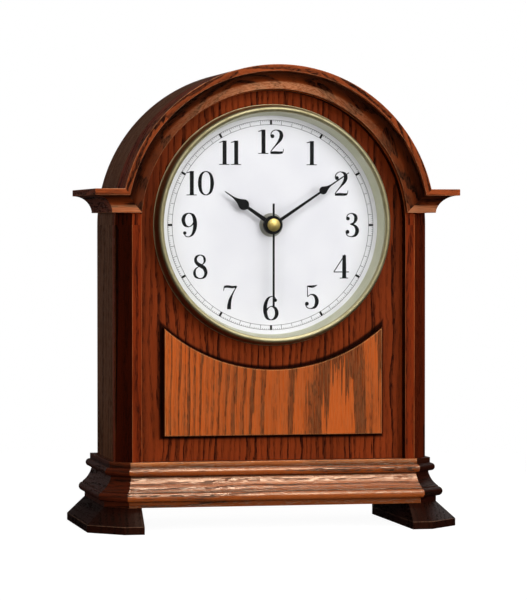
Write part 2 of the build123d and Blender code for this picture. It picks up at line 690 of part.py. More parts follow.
def motion_wheel():
    """Motion wheel and pinion on the setting shaft, which passes out through the rear cover."""
    place = (MOTION_AT[0], ARCH_Z + MOTION_AT[1])
    front = CHAMBER_FRONT + END_SHAKE
    back = MOVEMENT_BACK + KNOB_GAP + KNOB_LENGTH
    pivot = disc(PIVOT_RADIUS, front - PIVOT_LENGTH, front, *place)
    shaft = disc(SETTING_SHAFT_RADIUS, front, back, *place) + pivot
    phase = meshed_phase(MOTION_DIRECTION, 0.0, CANNON_TEETH, MOTION_WHEEL_TEETH)
    layer = CANNON_LAYER + LAYER_GAP
    return (shaft + wheel(MOTION_WHEEL_TEETH, MOTION_MODULE, phase, layer, MOTION_AT)
            + pinion(MOTION_PINION_TEETH, HOUR_MODULE, 0.0, HOUR_LAYER, layer, MOTION_AT))


def hour_wheel():
    """Hour wheel on the pipe that carries the hour hand."""
    front = DIAL_FRONT - HOUR_HAND_LEVEL - HAND_THICKNESS - PIPE_PROUD
    back = HOUR_LAYER + WHEEL_THICKNESS
    phase = meshed_phase(MOTION_DIRECTION + 180, 0.0, MOTION_PINION_TEETH, HOUR_WHEEL_TEETH)
    pipe = disc(HOUR_PIPE_RADIUS, front, back) + wheel(HOUR_WHEEL_TEETH, HOUR_MODULE, phase, HOUR_LAYER)
    return pipe - disc(MINUTE_PIPE_RADIUS + RUNNING_CLEARANCE, front - CUT_MARGIN, back + CUT_MARGIN)


def idler_wheel():
    """Wheel driven by the rotor, with the pinion that drives the second wheel."""
    phase = meshed_phase(ROTOR_DIRECTION + 180, 0.0, ROTOR_PINION_TEETH, IDLER_WHEEL_TEETH)
    pinion_front = SECOND_LAYER - LAYER_GAP / 2
    return (arbor(ARBOR_RADIUS, IDLER_AT)
            + wheel(IDLER_WHEEL_TEETH, IDLER_MODULE, phase, IDLER_LAYER, IDLER_AT)
            + pinion(IDLER_PINION_TEETH, SECOND_MODULE, 0.0, pinion_front, IDLER_LAYER, IDLER_AT))


def rotor():
    """Magnet rotor with its pinion."""
    pinion_front = IDLER_LAYER - LAYER_GAP / 2
    magnet_back = ROTOR_LAYER + MAGNET_LENGTH
    magnet = disc(MAGNET_RADIUS, ROTOR_LAYER, magnet_back, ROTOR_AT[0], ARCH_Z + ROTOR_AT[1])
    return (arbor(ROTOR_ARBOR_RADIUS, ROTOR_AT) + magnet
            + pinion(ROTOR_PINION_TEETH, IDLER_MODULE, 0.0, pinion_front, ROTOR_LAYER, ROTOR_AT))


# Movement case, motor and cell

BAY_LENGTH = CELL_LENGTH + 2 * (CONTACT_THICKNESS + CELL_PLAY)
BAY_HEIGHT = CELL_DIAMETER + 2 * CELL_PLAY
CENTRE_TIP = CENTRE_MODULE * (CENTRE_WHEEL_TEETH / 2 + WHEEL_ADDENDUM)
PARTITION_Z = ARCH_Z - CENTRE_TIP - WHEEL_ROOM - PARTITION
BAY_BOTTOM = PARTITION_Z - BAY_HEIGHT
CELL_Z = BAY_BOTTOM + BAY_HEIGHT / 2
STATOR_LEFT = ROTOR_AT[0] - STATOR_END
STATOR_RIGHT = STATOR_LEFT + STATOR_LENGTH
STATOR_Z = ARCH_Z + ROTOR_AT[1]
COIL_Z = STATOR_Z + COIL_RISE
POST_Z = COIL_Z + COIL_CORE_RADIUS + COIL_CLEARANCE + POST_RADIUS
CHAMBER_TOP = POST_Z + POST_RADIUS + MOTOR_ROOM
STATOR_POSTS = [(STATOR_LEFT + STATOR_LEG / 2, POST_Z), (STATOR_RIGHT - STATOR_LEG / 2, POST_Z)]
BOARD_RIGHT = STATOR_RIGHT + BOARD_GAP + BOARD_WIDTH
BOARD_TOP = CHAMBER_TOP - BOARD_INSET
BOARD_FRONT = ROTOR_LAYER + LAYER_GAP
HALF_MOVEMENT = max(BAY_LENGTH / 2 + BAY_WALL, BOARD_RIGHT + BOARD_INSET + MOVEMENT_WALL)
MOVEMENT_BOTTOM = BAY_BOTTOM - MOVEMENT_WALL
MOVEMENT_TOP = CHAMBER_TOP + MOVEMENT_WALL
BOARD_POST_X = BOARD_RIGHT - POST_RADIUS
BOARD_POSTS = [(BOARD_POST_X, BOARD_TOP - POST_RADIUS),
               (BOARD_POST_X, BOARD_TOP - BOARD_HEIGHT + POST_RADIUS)]


def pivot_holes(front, back):
    """Bearing holes of the pivoted wheels."""
    return [disc(PIVOT_RADIUS + PIVOT_CLEARANCE, front, back, x, ARCH_Z + z) for x, z in PIVOTED]


def movement_housing():
    """Front half of the movement: wheel chamber above, open cell bay below, threaded neck in front."""
    inside = HALF_MOVEMENT - MOVEMENT_WALL
    shell = block((-HALF_MOVEMENT, MOVEMENT_FRONT, MOVEMENT_BOTTOM),
                  (HALF_MOVEMENT, MOVEMENT_BACK, MOVEMENT_TOP))
    shell -= block((-inside, CHAMBER_FRONT, PARTITION_Z + PARTITION), (inside, MOVEMENT_BACK, CHAMBER_TOP))
    shell -= block((-HALF_MOVEMENT, CHAMBER_BACK, PARTITION_Z), (HALF_MOVEMENT, MOVEMENT_BACK, MOVEMENT_TOP))
    shell -= block((-BAY_LENGTH / 2, CHAMBER_FRONT, BAY_BOTTOM),
                   (BAY_LENGTH / 2, MOVEMENT_BACK, PARTITION_Z))
    shell += disc(NECK_RADIUS, DIAL_FRONT - NECK_REACH, MOVEMENT_FRONT)
    shell -= disc(HOUR_PIPE_RADIUS + RUNNING_CLEARANCE, DIAL_FRONT - NECK_REACH, CHAMBER_FRONT)
    bearing = CHAMBER_FRONT - PIVOT_LENGTH
    shell -= pivot_holes(bearing, CHAMBER_FRONT)
    shell -= disc(PIVOT_RADIUS + PIVOT_CLEARANCE, bearing, CHAMBER_FRONT, MOTION_AT[0], ARCH_Z + MOTION_AT[1])
    for posts, back in ((STATOR_POSTS, STATOR_FRONT), (BOARD_POSTS, BOARD_FRONT)):
        shell += [disc(POST_RADIUS, CHAMBER_FRONT, back, x, z) for x, z in posts]
    return shell


def movement_cover():
    """Rear cover over the wheel chamber, with the bearings and the hole of the setting shaft."""
    plate = block((-HALF_MOVEMENT, CHAMBER_BACK, PARTITION_Z), (HALF_MOVEMENT, MOVEMENT_BACK, MOVEMENT_TOP))
    bearing = CHAMBER_BACK + PIVOT_LENGTH
    plate -= pivot_holes(CHAMBER_BACK, bearing)
    plate -= disc(PIVOT_RADIUS + PIVOT_CLEARANCE, CHAMBER_BACK, bearing)
    hole = SETTING_SHAFT_RADIUS + RUNNING_CLEARANCE
    plate -= disc(hole, CHAMBER_BACK, MOVEMENT_BACK, MOTION_AT[0], ARCH_Z + MOTION_AT[1])
    return plate


def stator():
    """Steel stator round the rotor, with two legs and the core of the coil between them."""
    back = STATOR_FRONT + STATOR_THICKNESS
    top = POST_Z + POST_RADIUS
    plate = block((STATOR_LEFT, STATOR_FRONT, STATOR_Z - STATOR_HALF_HEIGHT),
                  (STATOR_RIGHT, back, STATOR_Z + STATOR_HALF_HEIGHT))
    for left in (STATOR_LEFT, STATOR_RIGHT - STATOR_LEG):
        plate += block((left, STATOR_FRONT, STATOR_Z), (left + STATOR_LEG, back, top))
    core = Cylinder(COIL_CORE_RADIUS, STATOR_LENGTH - STATOR_LEG, rotation=(0, 90, 0))
    plate += Pos((STATOR_LEFT + STATOR_RIGHT) / 2, COIL_Y, COIL_Z) * core
    plate -= disc(MAGNET_RADIUS + STATOR_GAP, STATOR_FRONT, back, ROTOR_AT[0], STATOR_Z)
    return plate


def coil():
    """Winding on the stator's core."""
    length = STATOR_LENGTH - 2 * STATOR_LEG - 2 * COIL_CLEARANCE
    winding = Cylinder(COIL_RADIUS, length, rotation=(0, 90, 0))
    bore = Cylinder(COIL_CORE_RADIUS + COIL_CLEARANCE, length, rotation=(0, 90, 0))
    return Pos((STATOR_LEFT + STATOR_RIGHT) / 2, COIL_Y, COIL_Z) * (winding - bore)


def circuit_board():
    """Small circuit board on its two posts."""
    return block((BOARD_RIGHT - BOARD_WIDTH, BOARD_FRONT, BOARD_TOP - BOARD_HEIGHT),
                 (BOARD_RIGHT, BOARD_FRONT + BOARD_THICKNESS, BOARD_TOP))


def cell():
    """Round cell lying across the bay, with its nub to the right."""
    body_length = CELL_LENGTH - CELL_NUB_LENGTH
    body = Cylinder(CELL_DIAMETER / 2, body_length, rotation=(0, 90, 0))
    nub = Cylinder(CELL_NUB_RADIUS, CELL_NUB_LENGTH, rotation=(0, 90, 0))
    start = -CELL_LENGTH / 2
    return (Pos(start + body_length / 2, CELL_Y, CELL_Z) * body
            + Pos(-start - CELL_NUB_LENGTH / 2, CELL_Y, CELL_Z) * nub)


def contacts():
    """Spring strips at both ends of the bay."""
    end = -BAY_LENGTH / 2
    half = CONTACT_WIDTH / 2
    strip = block((end, CHAMBER_FRONT, CELL_Z - half),
                  (end + CONTACT_THICKNESS, CELL_Y + half, CELL_Z + half))
    return Compound(children=[*strip.solids(), *mirrored(strip).solids()])


def setting_knob():
    """Fluted knob on the setting shaft."""
    outline = Circle(KNOB_RADIUS) - Circle(SETTING_SHAFT_RADIUS + HAND_FIT)
    for index in range(KNOB_FLUTES):
        outline -= Pos(*polar(KNOB_RADIUS, 360 * index / KNOB_FLUTES)) * Circle(KNOB_FLUTE_RADIUS)
    front = MOVEMENT_BACK + KNOB_GAP
    return along_y(outline, front, front + KNOB_LENGTH, MOTION_AT[0], ARCH_Z + MOTION_AT[1])


def fixing_nut():
    """Six-sided nut that holds the movement to the dial."""
    outline = RegularPolygon(NUT_ACROSS_FLATS / 2, 6, major_radius=False) - Circle(NECK_RADIUS + HAND_FIT)
    front = DIAL_FRONT - WASHER_THICKNESS - NUT_THICKNESS
    return along_y(outline, front, front + NUT_THICKNESS, z=ARCH_Z)


# Hands


def hand(outline, level, angle):
    """Flat hand drawn pointing up, turned clockwise to its angle and set at its level."""
    back = DIAL_FRONT - level
    return along_y(Rot(0, 0, -angle) * outline, back - HAND_THICKNESS, back, z=ARCH_Z)


def spade_outline(length, point_length, flare, bulb_radius, stem, hub_radius, bore):
    """Hub, tapering stem, round bulb and a point whose hollow sides run out into a needle."""
    bulb_at = length - point_length
    neck = stem * STEM_TAPER
    shoulder = bulb_at + bulb_radius / 2
    half = bulb_radius * sqrt(3) / 2
    flare_end = bulb_at + flare
    needle = HAND_NEEDLE / 2
    tip = HAND_TIP / 2
    point = make_face([
        Line((-half, shoulder), (half, shoulder)),
        TangentArc((needle, flare_end), (half, shoulder), tangent=(0, -1)),
        Polyline((needle, flare_end), (tip, length), (-tip, length), (-needle, flare_end)),
        TangentArc((-needle, flare_end), (-half, shoulder), tangent=(0, -1)),
    ])
    bar = Polygon((-stem / 2, 0), (stem / 2, 0), (neck / 2, bulb_at), (-neck / 2, bulb_at), align=None)
    return Circle(hub_radius) + bar + Pos(0, bulb_at) * Circle(bulb_radius) + point - Circle(bore)


def collar(hub_radius, bore, level, length):
    """Boss behind the hub of a hand, round its pipe."""
    back = DIAL_FRONT - level
    return disc(hub_radius, back, back + length) - disc(bore, back, back + length)


def hour_hand():
    """Short spade hand with its collar."""
    bore = HOUR_PIPE_RADIUS + HAND_FIT
    outline = spade_outline(DIAL_RADIUS - HOUR_HAND_INSET, HOUR_POINT, HOUR_FLARE, HOUR_BULB_RADIUS,
                            HOUR_STEM, HOUR_HUB_RADIUS, bore)
    return (hand(outline, HOUR_HAND_LEVEL, HOUR_ANGLE)
            + collar(HOUR_HUB_RADIUS, bore, HOUR_HAND_LEVEL, HOUR_COLLAR))


def minute_hand():
    """Long spade hand with its collar."""
    bore = MINUTE_PIPE_RADIUS + HAND_FIT
    outline = spade_outline(DIAL_RADIUS - MINUTE_HAND_INSET, MINUTE_POINT, MINUTE_FLARE, MINUTE_BULB_RADIUS,
                            MINUTE_STEM, MINUTE_HUB_RADIUS, bore)
    return (hand(outline, MINUTE_HAND_LEVEL, MINUTE_ANGLE)
            + collar(MINUTE_HUB_RADIUS, bore, MINUTE_HAND_LEVEL, MINUTE_COLLAR))


def second_hand():
    """Plain baton with a short tail."""
    length = DIAL_RADIUS - SECOND_HAND_INSET
    baton = Pos(0, (length - SECOND_HAND_TAIL) / 2) * Rectangle(SECOND_HAND_WIDTH, length + SECOND_HAND_TAIL)
    outline = baton + Circle(SECOND_HUB_RADIUS) - Circle(SECOND_ARBOR_RADIUS + HAND_FIT)
    return hand(outline, SECOND_HAND_LEVEL, SECOND_ANGLE)


def hub_cap():
    """Domed cap over the end of the second arbor."""
    back = DIAL_FRONT - SECOND_HAND_LEVEL - HAND_THICKNESS
    shoulder = back - HUB_CAP_BAND
    front = shoulder - HUB_CAP_DOME
    dome_radius = (HUB_CAP_RADIUS ** 2 + HUB_CAP_DOME ** 2) / (2 * HUB_CAP_DOME)
    half = HUB_CAP_RADIUS / 2
    half_depth = front + dome_radius - sqrt(dome_radius ** 2 - half ** 2)
    edges = [
        Polyline((0, front), (0, back), (HUB_CAP_RADIUS, back), (HUB_CAP_RADIUS, shoulder)),
        ThreePointArc((HUB_CAP_RADIUS, shoulder), (half, half_depth), (0, front)),
    ]
    dome = revolve(Pos(0, 0, ARCH_Z) * make_face(edges), Axis((0, 0, ARCH_Z), (0, 1, 0)))
    return dome - disc(SECOND_ARBOR_RADIUS + HAND_FIT, back - PIPE_PROUD - HAND_FIT, back)


# Back frame, door, hinges and catch

HINGE_X = DOOR_HALF_WIDTH - DOOR_GAP / 2
HINGE_Y = CASE_BACK + KNUCKLE_RADIUS + KNUCKLE_LIFT
HINGE_HEIGHTS = [DOOR_BOTTOM + HINGE_END, ARCH_Z - HINGE_END]
KNUCKLE_LENGTH = HINGE_LENGTH / KNUCKLES


def back_frame():
    """Back board in the rebate of the sides, with the arched opening of the door."""
    outer = BACK_RADIUS - PANEL_CLEARANCE
    board = arched(outer, outer, BASE_TOP) - arched(DOOR_HALF_WIDTH, DOOR_HALF_WIDTH, DOOR_BOTTOM)
    return along_y(board, BACK_FRONT, CASE_BACK, z=ARCH_Z)


def back_door():
    """Arched door, flush in its opening."""
    half_width = DOOR_HALF_WIDTH - DOOR_GAP
    board = arched(half_width, half_width, DOOR_BOTTOM + DOOR_GAP)
    return along_y(board, BACK_FRONT, CASE_BACK, z=ARCH_Z)


def upright(radius, low, high):
    """Upright bar on the hinge line."""
    bar = Cylinder(radius, high - low, align=(Align.CENTER, Align.CENTER, Align.MIN))
    return Pos(HINGE_X, HINGE_Y, low) * bar


def hinge_leaves(side, knuckles):
    """One leaf of each hinge, to the given side of the hinge line, with its knuckles."""
    leaves = []
    bore = PIN_RADIUS + PIN_CLEARANCE
    for middle in HINGE_HEIGHTS:
        low = middle - HINGE_LENGTH / 2
        near = HINGE_X + side * (KNUCKLE_RADIUS + KNUCKLE_GAP)
        far = HINGE_X + side * HINGE_LEAF_WIDTH
        face = CASE_BACK + HINGE_LEAF_THICKNESS
        leaf = block((min(near, far), CASE_BACK, low), (max(near, far), face, low + HINGE_LENGTH))
        for index in knuckles:
            start = low + index * KNUCKLE_LENGTH + KNUCKLE_GAP / 2
            end = start + KNUCKLE_LENGTH - KNUCKLE_GAP
            leaf += upright(KNUCKLE_RADIUS, start, end)
            leaf += block((min(HINGE_X, near), CASE_BACK, start), (max(HINGE_X, near), face, end))
        leaves += (leaf - upright(bore, low, low + HINGE_LENGTH)).solids()
    return Compound(children=leaves)


def hinge_pins():
    """One pin in each hinge, headed at the top."""
    pins = []
    for middle in HINGE_HEIGHTS:
        low = middle - HINGE_LENGTH / 2
        head = low + HINGE_LENGTH
        pins += (upright(PIN_RADIUS, low, head) + upright(KNUCKLE_RADIUS, head, head + PIN_HEAD)).solids()
    return Compound(children=pins)


def door_knob():
    """Small turned knob near the free edge of the door."""
    x = -DOOR_HALF_WIDTH + DOOR_GAP + DOOR_KNOB_INSET
    waist = CASE_BACK + DOOR_KNOB_NECK_LENGTH
    end = CASE_BACK + DOOR_KNOB_LENGTH
    neck = DOOR_KNOB_NECK_RADIUS
    edges = [
        Polyline((0, end), (0, CASE_BACK), (neck, CASE_BACK), (neck, waist)),
        ThreePointArc((neck, waist), (DOOR_KNOB_RADIUS, (waist + end) / 2), (neck, end)),
        Line((neck, end), (0, end)),
    ]
    return Pos(x, 0, DOOR_MIDDLE) * revolve(make_face(edges), Axis.Y)


CATCH_Z = DOOR_MIDDLE - CATCH_HEIGHT / 2


def catch_magnet():
    """Magnet block on the inside of the back frame, with a nose behind the door's edge."""
    edge = -DOOR_HALF_WIDTH
    low = BACK_FRONT - CATCH_DEPTH
    body = block((edge - CATCH_LENGTH, low, CATCH_Z), (edge, BACK_FRONT, CATCH_Z + CATCH_HEIGHT))
    nose_back = BACK_FRONT - STRIKE_THICKNESS - CATCH_GAP
    return body + block((edge, low, CATCH_Z), (edge + CATCH_NOSE, nose_back, CATCH_Z + CATCH_HEIGHT))


def strike_plate():
    """Steel plate on the inside of the door, opposite the magnet."""
    near = -DOOR_HALF_WIDTH + 2 * DOOR_GAP
    return block((near, BACK_FRONT - STRIKE_THICKNESS, CATCH_Z),
                 (near + CATCH_NOSE, BACK_FRONT, CATCH_Z + CATCH_HEIGHT))


save_pair("foot", foot())
save("base_board", upward(base_outline(0.0), FOOT_HEIGHT, BASE_TOP))
save_pair("base_moulding_side", base_moulding(0))
save_pair("base_moulding_corner", base_moulding(1))
save("base_moulding_front", base_moulding(2))
save_pair("side_board", side_board())
save_pair("stile", stile())
save("arch_rail", arch_rail())
save("arch_shell", half_turn(shell_section()))
save("arch_moulding", arch_moulding())
save_pair("cornice_front", cornice_front())
save_pair("cornice_side", cornice_side())
save("front_panel", front_panel())
save("raised_panel", raised_panel())

save("dial_pan", dial_pan())
save("dial", turned([(NECK_RADIUS + NECK_HOLE_CLEARANCE, DIAL_FRONT), (DIAL_RADIUS, DIAL_FRONT),
                     (DIAL_RADIUS, DIAL_BACK), (NECK_RADIUS + NECK_HOLE_CLEARANCE, DIAL_BACK)]))
save("bezel", bezel())
save("lens", disc(BEZEL_BORE - LENS_CLEARANCE, LENS_FRONT, LENS_BACK))
save("reflector_ring", reflector())
save("dial_washer", disc(WASHER_RADIUS, DIAL_FRONT - WASHER_THICKNESS, DIAL_FRONT)
     - disc(NECK_RADIUS + HAND_FIT, DIAL_FRONT - WASHER_THICKNESS, DIAL_FRONT))
save("fixing_nut", fixing_nut())

save("movement_housing", movement_housing())
save("movement_cover", movement_cover())
save("motor_stator", stator())
save("motor_coil", coil())
save("circuit_board", circuit_board())
save("cell", cell())
save("cell_contacts", contacts())
save("rotor", rotor())
save("idler_wheel", idler_wheel())
save("second_arbor", second_arbor())
save("third_wheel", third_wheel())
save("minute_pipe", minute_pipe())
save("motion_wheel", motion_wheel())
save("hour_wheel", hour_wheel())
save("setting_knob", setting_knob())

save("hour_hand", hour_hand())
save("minute_hand", minute_hand())
save("second_hand", second_hand())
save("hub_cap", hub_cap())

save("back_frame", back_frame())
save("back_door", back_door())
save("hinge_frame_leaves", hinge_leaves(1, (0, 2)))
save("hinge_door_leaves", hinge_leaves(-1, (1,)))
save("hinge_pins", hinge_pins())
save("door_knob", door_knob())
save("catch_magnet", catch_magnet())
save("strike_plate", strike_plate())
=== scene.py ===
"""Looks of an arched wooden table clock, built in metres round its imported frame.

X runs to the right, Y to the back and Z up from the table top, and the dial faces -Y. Shapes are worked
out in millimetres and go into the meshes in metres.
"""

import json
import logging
from dataclasses import dataclass
from enum import Enum
from functools import reduce
from typing import Sequence

import bmesh
import bpy
import numpy as np
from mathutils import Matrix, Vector


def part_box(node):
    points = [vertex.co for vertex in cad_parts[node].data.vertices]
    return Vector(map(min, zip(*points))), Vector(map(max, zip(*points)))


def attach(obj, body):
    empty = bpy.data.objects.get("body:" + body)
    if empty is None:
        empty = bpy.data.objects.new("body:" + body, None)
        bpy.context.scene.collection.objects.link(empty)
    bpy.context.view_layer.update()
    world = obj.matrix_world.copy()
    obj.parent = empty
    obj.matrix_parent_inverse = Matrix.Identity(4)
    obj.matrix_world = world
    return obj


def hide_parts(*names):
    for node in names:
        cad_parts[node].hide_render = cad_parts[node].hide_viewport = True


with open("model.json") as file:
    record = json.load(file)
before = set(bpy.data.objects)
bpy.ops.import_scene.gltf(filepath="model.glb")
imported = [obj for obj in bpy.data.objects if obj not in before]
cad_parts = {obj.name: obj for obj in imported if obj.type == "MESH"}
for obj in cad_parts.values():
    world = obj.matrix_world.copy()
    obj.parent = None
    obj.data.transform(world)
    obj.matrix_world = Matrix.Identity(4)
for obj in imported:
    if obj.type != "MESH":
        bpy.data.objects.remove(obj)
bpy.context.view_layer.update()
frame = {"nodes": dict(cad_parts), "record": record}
SLOTS = {part["node"]: part["material_slot"] for part in frame["record"]["subparts"]}

Array = np.ndarray
Colour = tuple[float, float, float]
Tint = tuple[float, float, float, float]
Levels = tuple[float, ...]
Steps = tuple[tuple[float, float], ...]
Knot = tuple[int, int, int]
Socket = bpy.types.NodeSocket

MM = 0.001
SHARP_ANGLE = np.radians(38.0)
EASED_CORNER = np.radians(24.0)
EASED_POINTS = 5
FOOT_SPANS, SIDE_SPANS, CROWN_SPANS = 24, 12, 96
OTHER_LOG = 430.0
WHITE = (1.0, 1.0, 1.0, 1.0)
BLACK = (0.0, 0.0, 0.0, 1.0)

logging.basicConfig(level=logging.INFO, format="%(name)s: %(message)s")
log = logging.getLogger("clock")


def low(node: str) -> Array:
    """Lowest corner of a frame node, in millimetres."""
    return np.array(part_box(node)[0]) / MM


def high(node: str) -> Array:
    """Highest corner of a frame node, in millimetres."""
    return np.array(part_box(node)[1]) / MM


def linear(colour: Colour) -> Tint:
    """Display colour of 0 to 255 as the linear colour that a shader takes.

    Args:
        colour: Red, green and blue as they look on a screen.

    Returns:
        Linear red, green and blue, and an alpha of 1.
    """
    share = np.array(colour, float) / 255
    curve = np.where(share <= 0.04045, share / 12.92, ((share + 0.055) / 1.055) ** 2.4)
    return (*curve.tolist(), 1.0)


class Side(Enum):
    """The two ends of the clock, as the sign of X."""

    LEFT = -1
    RIGHT = 1

    @property
    def word(self) -> str:
        """Ending of this side's node names."""
        return self.name.lower()


class Body(Enum):
    """Bodies of the frame that new pieces ride on."""

    CASE = "case"
    DOOR = "door"


@dataclass(frozen=True)
class Layout:
    """Places of the case, in millimetres, read from the frame.

    Attributes:
        arch_radius: Radius of the arch and half the width of the case.
        arch_z: Height of the arch's and the dial's centre.
        frame_radius: Inner radius of the curved rail, and half the width between the stiles.
        hollow_gap: Gap between the bezel and the raised panel's hollow top.
        hollow: Lowest point of that hollow.
    """

    arch_radius: float = high("arch_shell")[0]
    arch_z: float = low("arch_shell")[2]
    frame_radius: float = -high("stile_left")[0]
    side_inner: float = -high("side_board_left")[0]
    stile_front: float = low("stile_left")[1]
    stile_back: float = high("stile_left")[1]
    case_back: float = high("side_board_left")[1]
    panel_front: float = low("front_panel")[1]
    panel_back: float = high("front_panel")[1]
    back_front: float = low("back_frame")[1]
    base_front: float = low("base_board")[1]
    base_back: float = high("base_board")[1]
    base_top: float = high("base_board")[2]
    foot_top: float = low("base_board")[2]
    dial_front: float = low("dial")[1]
    hollow_gap: float = 15.5
    hollow: float = low("bezel")[2] - hollow_gap
    hollow_radius: float = 106.0
    cant: float = 9.5
    rebate: float = 5.0

    def base_corners(self, offset: Array) -> Array:
        """Corners of the base in plan from back left to back right, moved out by an offset.

        A corner keeps to the two faces that meet there, so a cant of 135 degrees grows by (2 - sqrt 2) times
        the offset.

        Args:
            offset: Projections in front of the base board, of any shape.

        Returns:
            The offset's shape with six corners and X and Y added in front of it.
        """
        side = self.arch_radius + offset
        front = self.base_front - offset
        cant = self.cant + offset * (2 - np.sqrt(2))
        back = np.full_like(offset, self.base_back)
        left = [(-side, back), (-side, front + cant), (-side + cant, front)]
        right = [(-x, y) for x, y in reversed(left)]
        return np.array(left + right)


AT = Layout()


# Outlines and surfaces


def arc_through(start: Sequence[float], middle: Sequence[float], end: Sequence[float],
                steps: int = 16) -> Array:
    """Points on the circle through three points, from the first to the last.

    The centre is as far from all three; the angle runs from the first to the last past the middle one.

    Args:
        start: First point.
        middle: A point on the way.
        end: Last point.
        steps: Number of spans.

    Returns:
        Points of shape (steps + 1, 2).
    """
    a, b, c = (np.array(p, float) for p in (start, middle, end))
    sides = 2 * np.array([b - a, c - a])
    centre = np.linalg.solve(sides, np.array([b @ b - a @ a, c @ c - a @ a]))
    angles = np.unwrap([np.arctan2(*(p - centre)[::-1]) for p in (a, b, c)])
    turn = np.linspace(angles[0], angles[2], steps + 1)
    radius = np.linalg.norm(a - centre)
    return centre + radius * np.stack([np.cos(turn), np.sin(turn)], -1)


def arc_beside(start: Sequence[float], end: Sequence[float], sag: float) -> Array:
    """Arc whose middle lies a sag to the right of its chord, or to the left where the sag is below 0.

    Args:
        start: First point.
        end: Last point.
        sag: Distance from the chord.

    Returns:
        Points of shape (n, 2).
    """
    chord = np.subtract(end, start)
    right = np.array([chord[1], -chord[0]]) / np.linalg.norm(chord)
    return arc_through(start, np.add(start, end) / 2 + sag * right, end)


def eased(outline: Array, radius: float) -> tuple[Array, Array]:
    """Closed outline with its sharp corners rounded.

    A corner P becomes the curve (1-t)^2 Q + 2t(1-t) P + t^2 R, where Q and R lie on its two sides at the
    easing radius, or at a third of a shorter side. Corners that hardly turn stay one point.

    Args:
        outline: Corners of shape (n, 2), without a repeated end.
        radius: How far from the corner the easing begins.

    Returns:
        The new points, and 1 for each point in a rounding and 0 elsewhere.
    """
    before = np.roll(outline, 1, axis=0) - outline
    after = np.roll(outline, -1, axis=0) - outline
    length_before = np.linalg.norm(before, axis=1, keepdims=True)
    length_after = np.linalg.norm(after, axis=1, keepdims=True)
    reach = np.minimum(radius, np.minimum(length_before, length_after) / 3)
    near = outline + before / length_before * reach
    far = outline + after / length_after * reach
    t = np.linspace(0, 1, EASED_POINTS)[None, :, None]
    curve = (1 - t) ** 2 * near[:, None] + 2 * t * (1 - t) * outline[:, None] + t ** 2 * far[:, None]
    cosine = np.sum(-before * after, axis=1) / (length_before * length_after)[:, 0]
    corner = np.arccos(np.clip(cosine, -1, 1)) > EASED_CORNER
    step = np.arange(EASED_POINTS)
    middle = EASED_POINTS // 2
    curve[~corner, middle] = outline[~corner]
    keep = corner[:, None] | (step == middle)
    worn = corner[:, None] & (step > 0) & (step < EASED_POINTS - 1)
    return curve[keep], worn[keep].astype(float)


def arched_outline(half_width: float, bottom: float, inset: float = 0.0) -> Array:
    """Straight sides up to the arch's centre and a round top, in X and Z.

    Args:
        half_width: Half the width, which is the radius of the top.
        bottom: Height of the lower edge.
        inset: How far the outline is drawn in all round.

    Returns:
        Points of shape (n, 2), from the bottom left corner to the right and round, as many for any size.
    """
    radius = half_width - inset
    floor = bottom + inset
    along = np.linspace(-1, 1, FOOT_SPANS + 1)[:-1]
    turn = np.linspace(0, np.pi, CROWN_SPANS + 1)
    up = np.linspace(0, 1, SIDE_SPANS + 1)[:-1]
    foot = np.stack([along * radius, np.full_like(along, floor)], -1)
    right = np.stack([np.full_like(up, radius), floor + up * (AT.arch_z - floor)], -1)
    crown = np.stack([radius * np.cos(turn), AT.arch_z + radius * np.sin(turn)], -1)
    left = right[:0:-1] * [-1, 1]
    return np.concatenate([foot, right, crown, left])


def in_depth(outline: Array, depth: float) -> Array:
    """Outline in X and Z set at a depth Y."""
    return np.insert(outline, 1, depth, axis=1)


def at_heights(plan: Array, heights: Array) -> Array:
    """Points in X and Y with heights Z, which are spread to the plan's shape."""
    return np.concatenate([plan, np.broadcast_to(heights, plan.shape[:-1])[..., None]], -1)


def risen(plan: Array, bottom: float, top: float) -> Array:
    """Outline in X and Y as two loops, one at each height Z."""
    return at_heights(np.stack([plan, plan]), np.array([[bottom], [top]]))


def circle(steps: int) -> Array:
    """Points on a circle of radius 1, of shape (steps, 2)."""
    angle = np.linspace(0, 2 * np.pi, steps, endpoint=False)
    return np.stack([np.cos(angle), np.sin(angle)], -1)


def about_dial(radius: Array, angle: Array, depth: Array) -> Array:
    """Points (r cos a, y, z + r sin a) about the dial's axis, for each radius r, angle a and depth y."""
    x = radius * np.cos(angle)
    return np.stack([x, np.broadcast_to(depth, x.shape), AT.arch_z + radius * np.sin(angle)], -1)


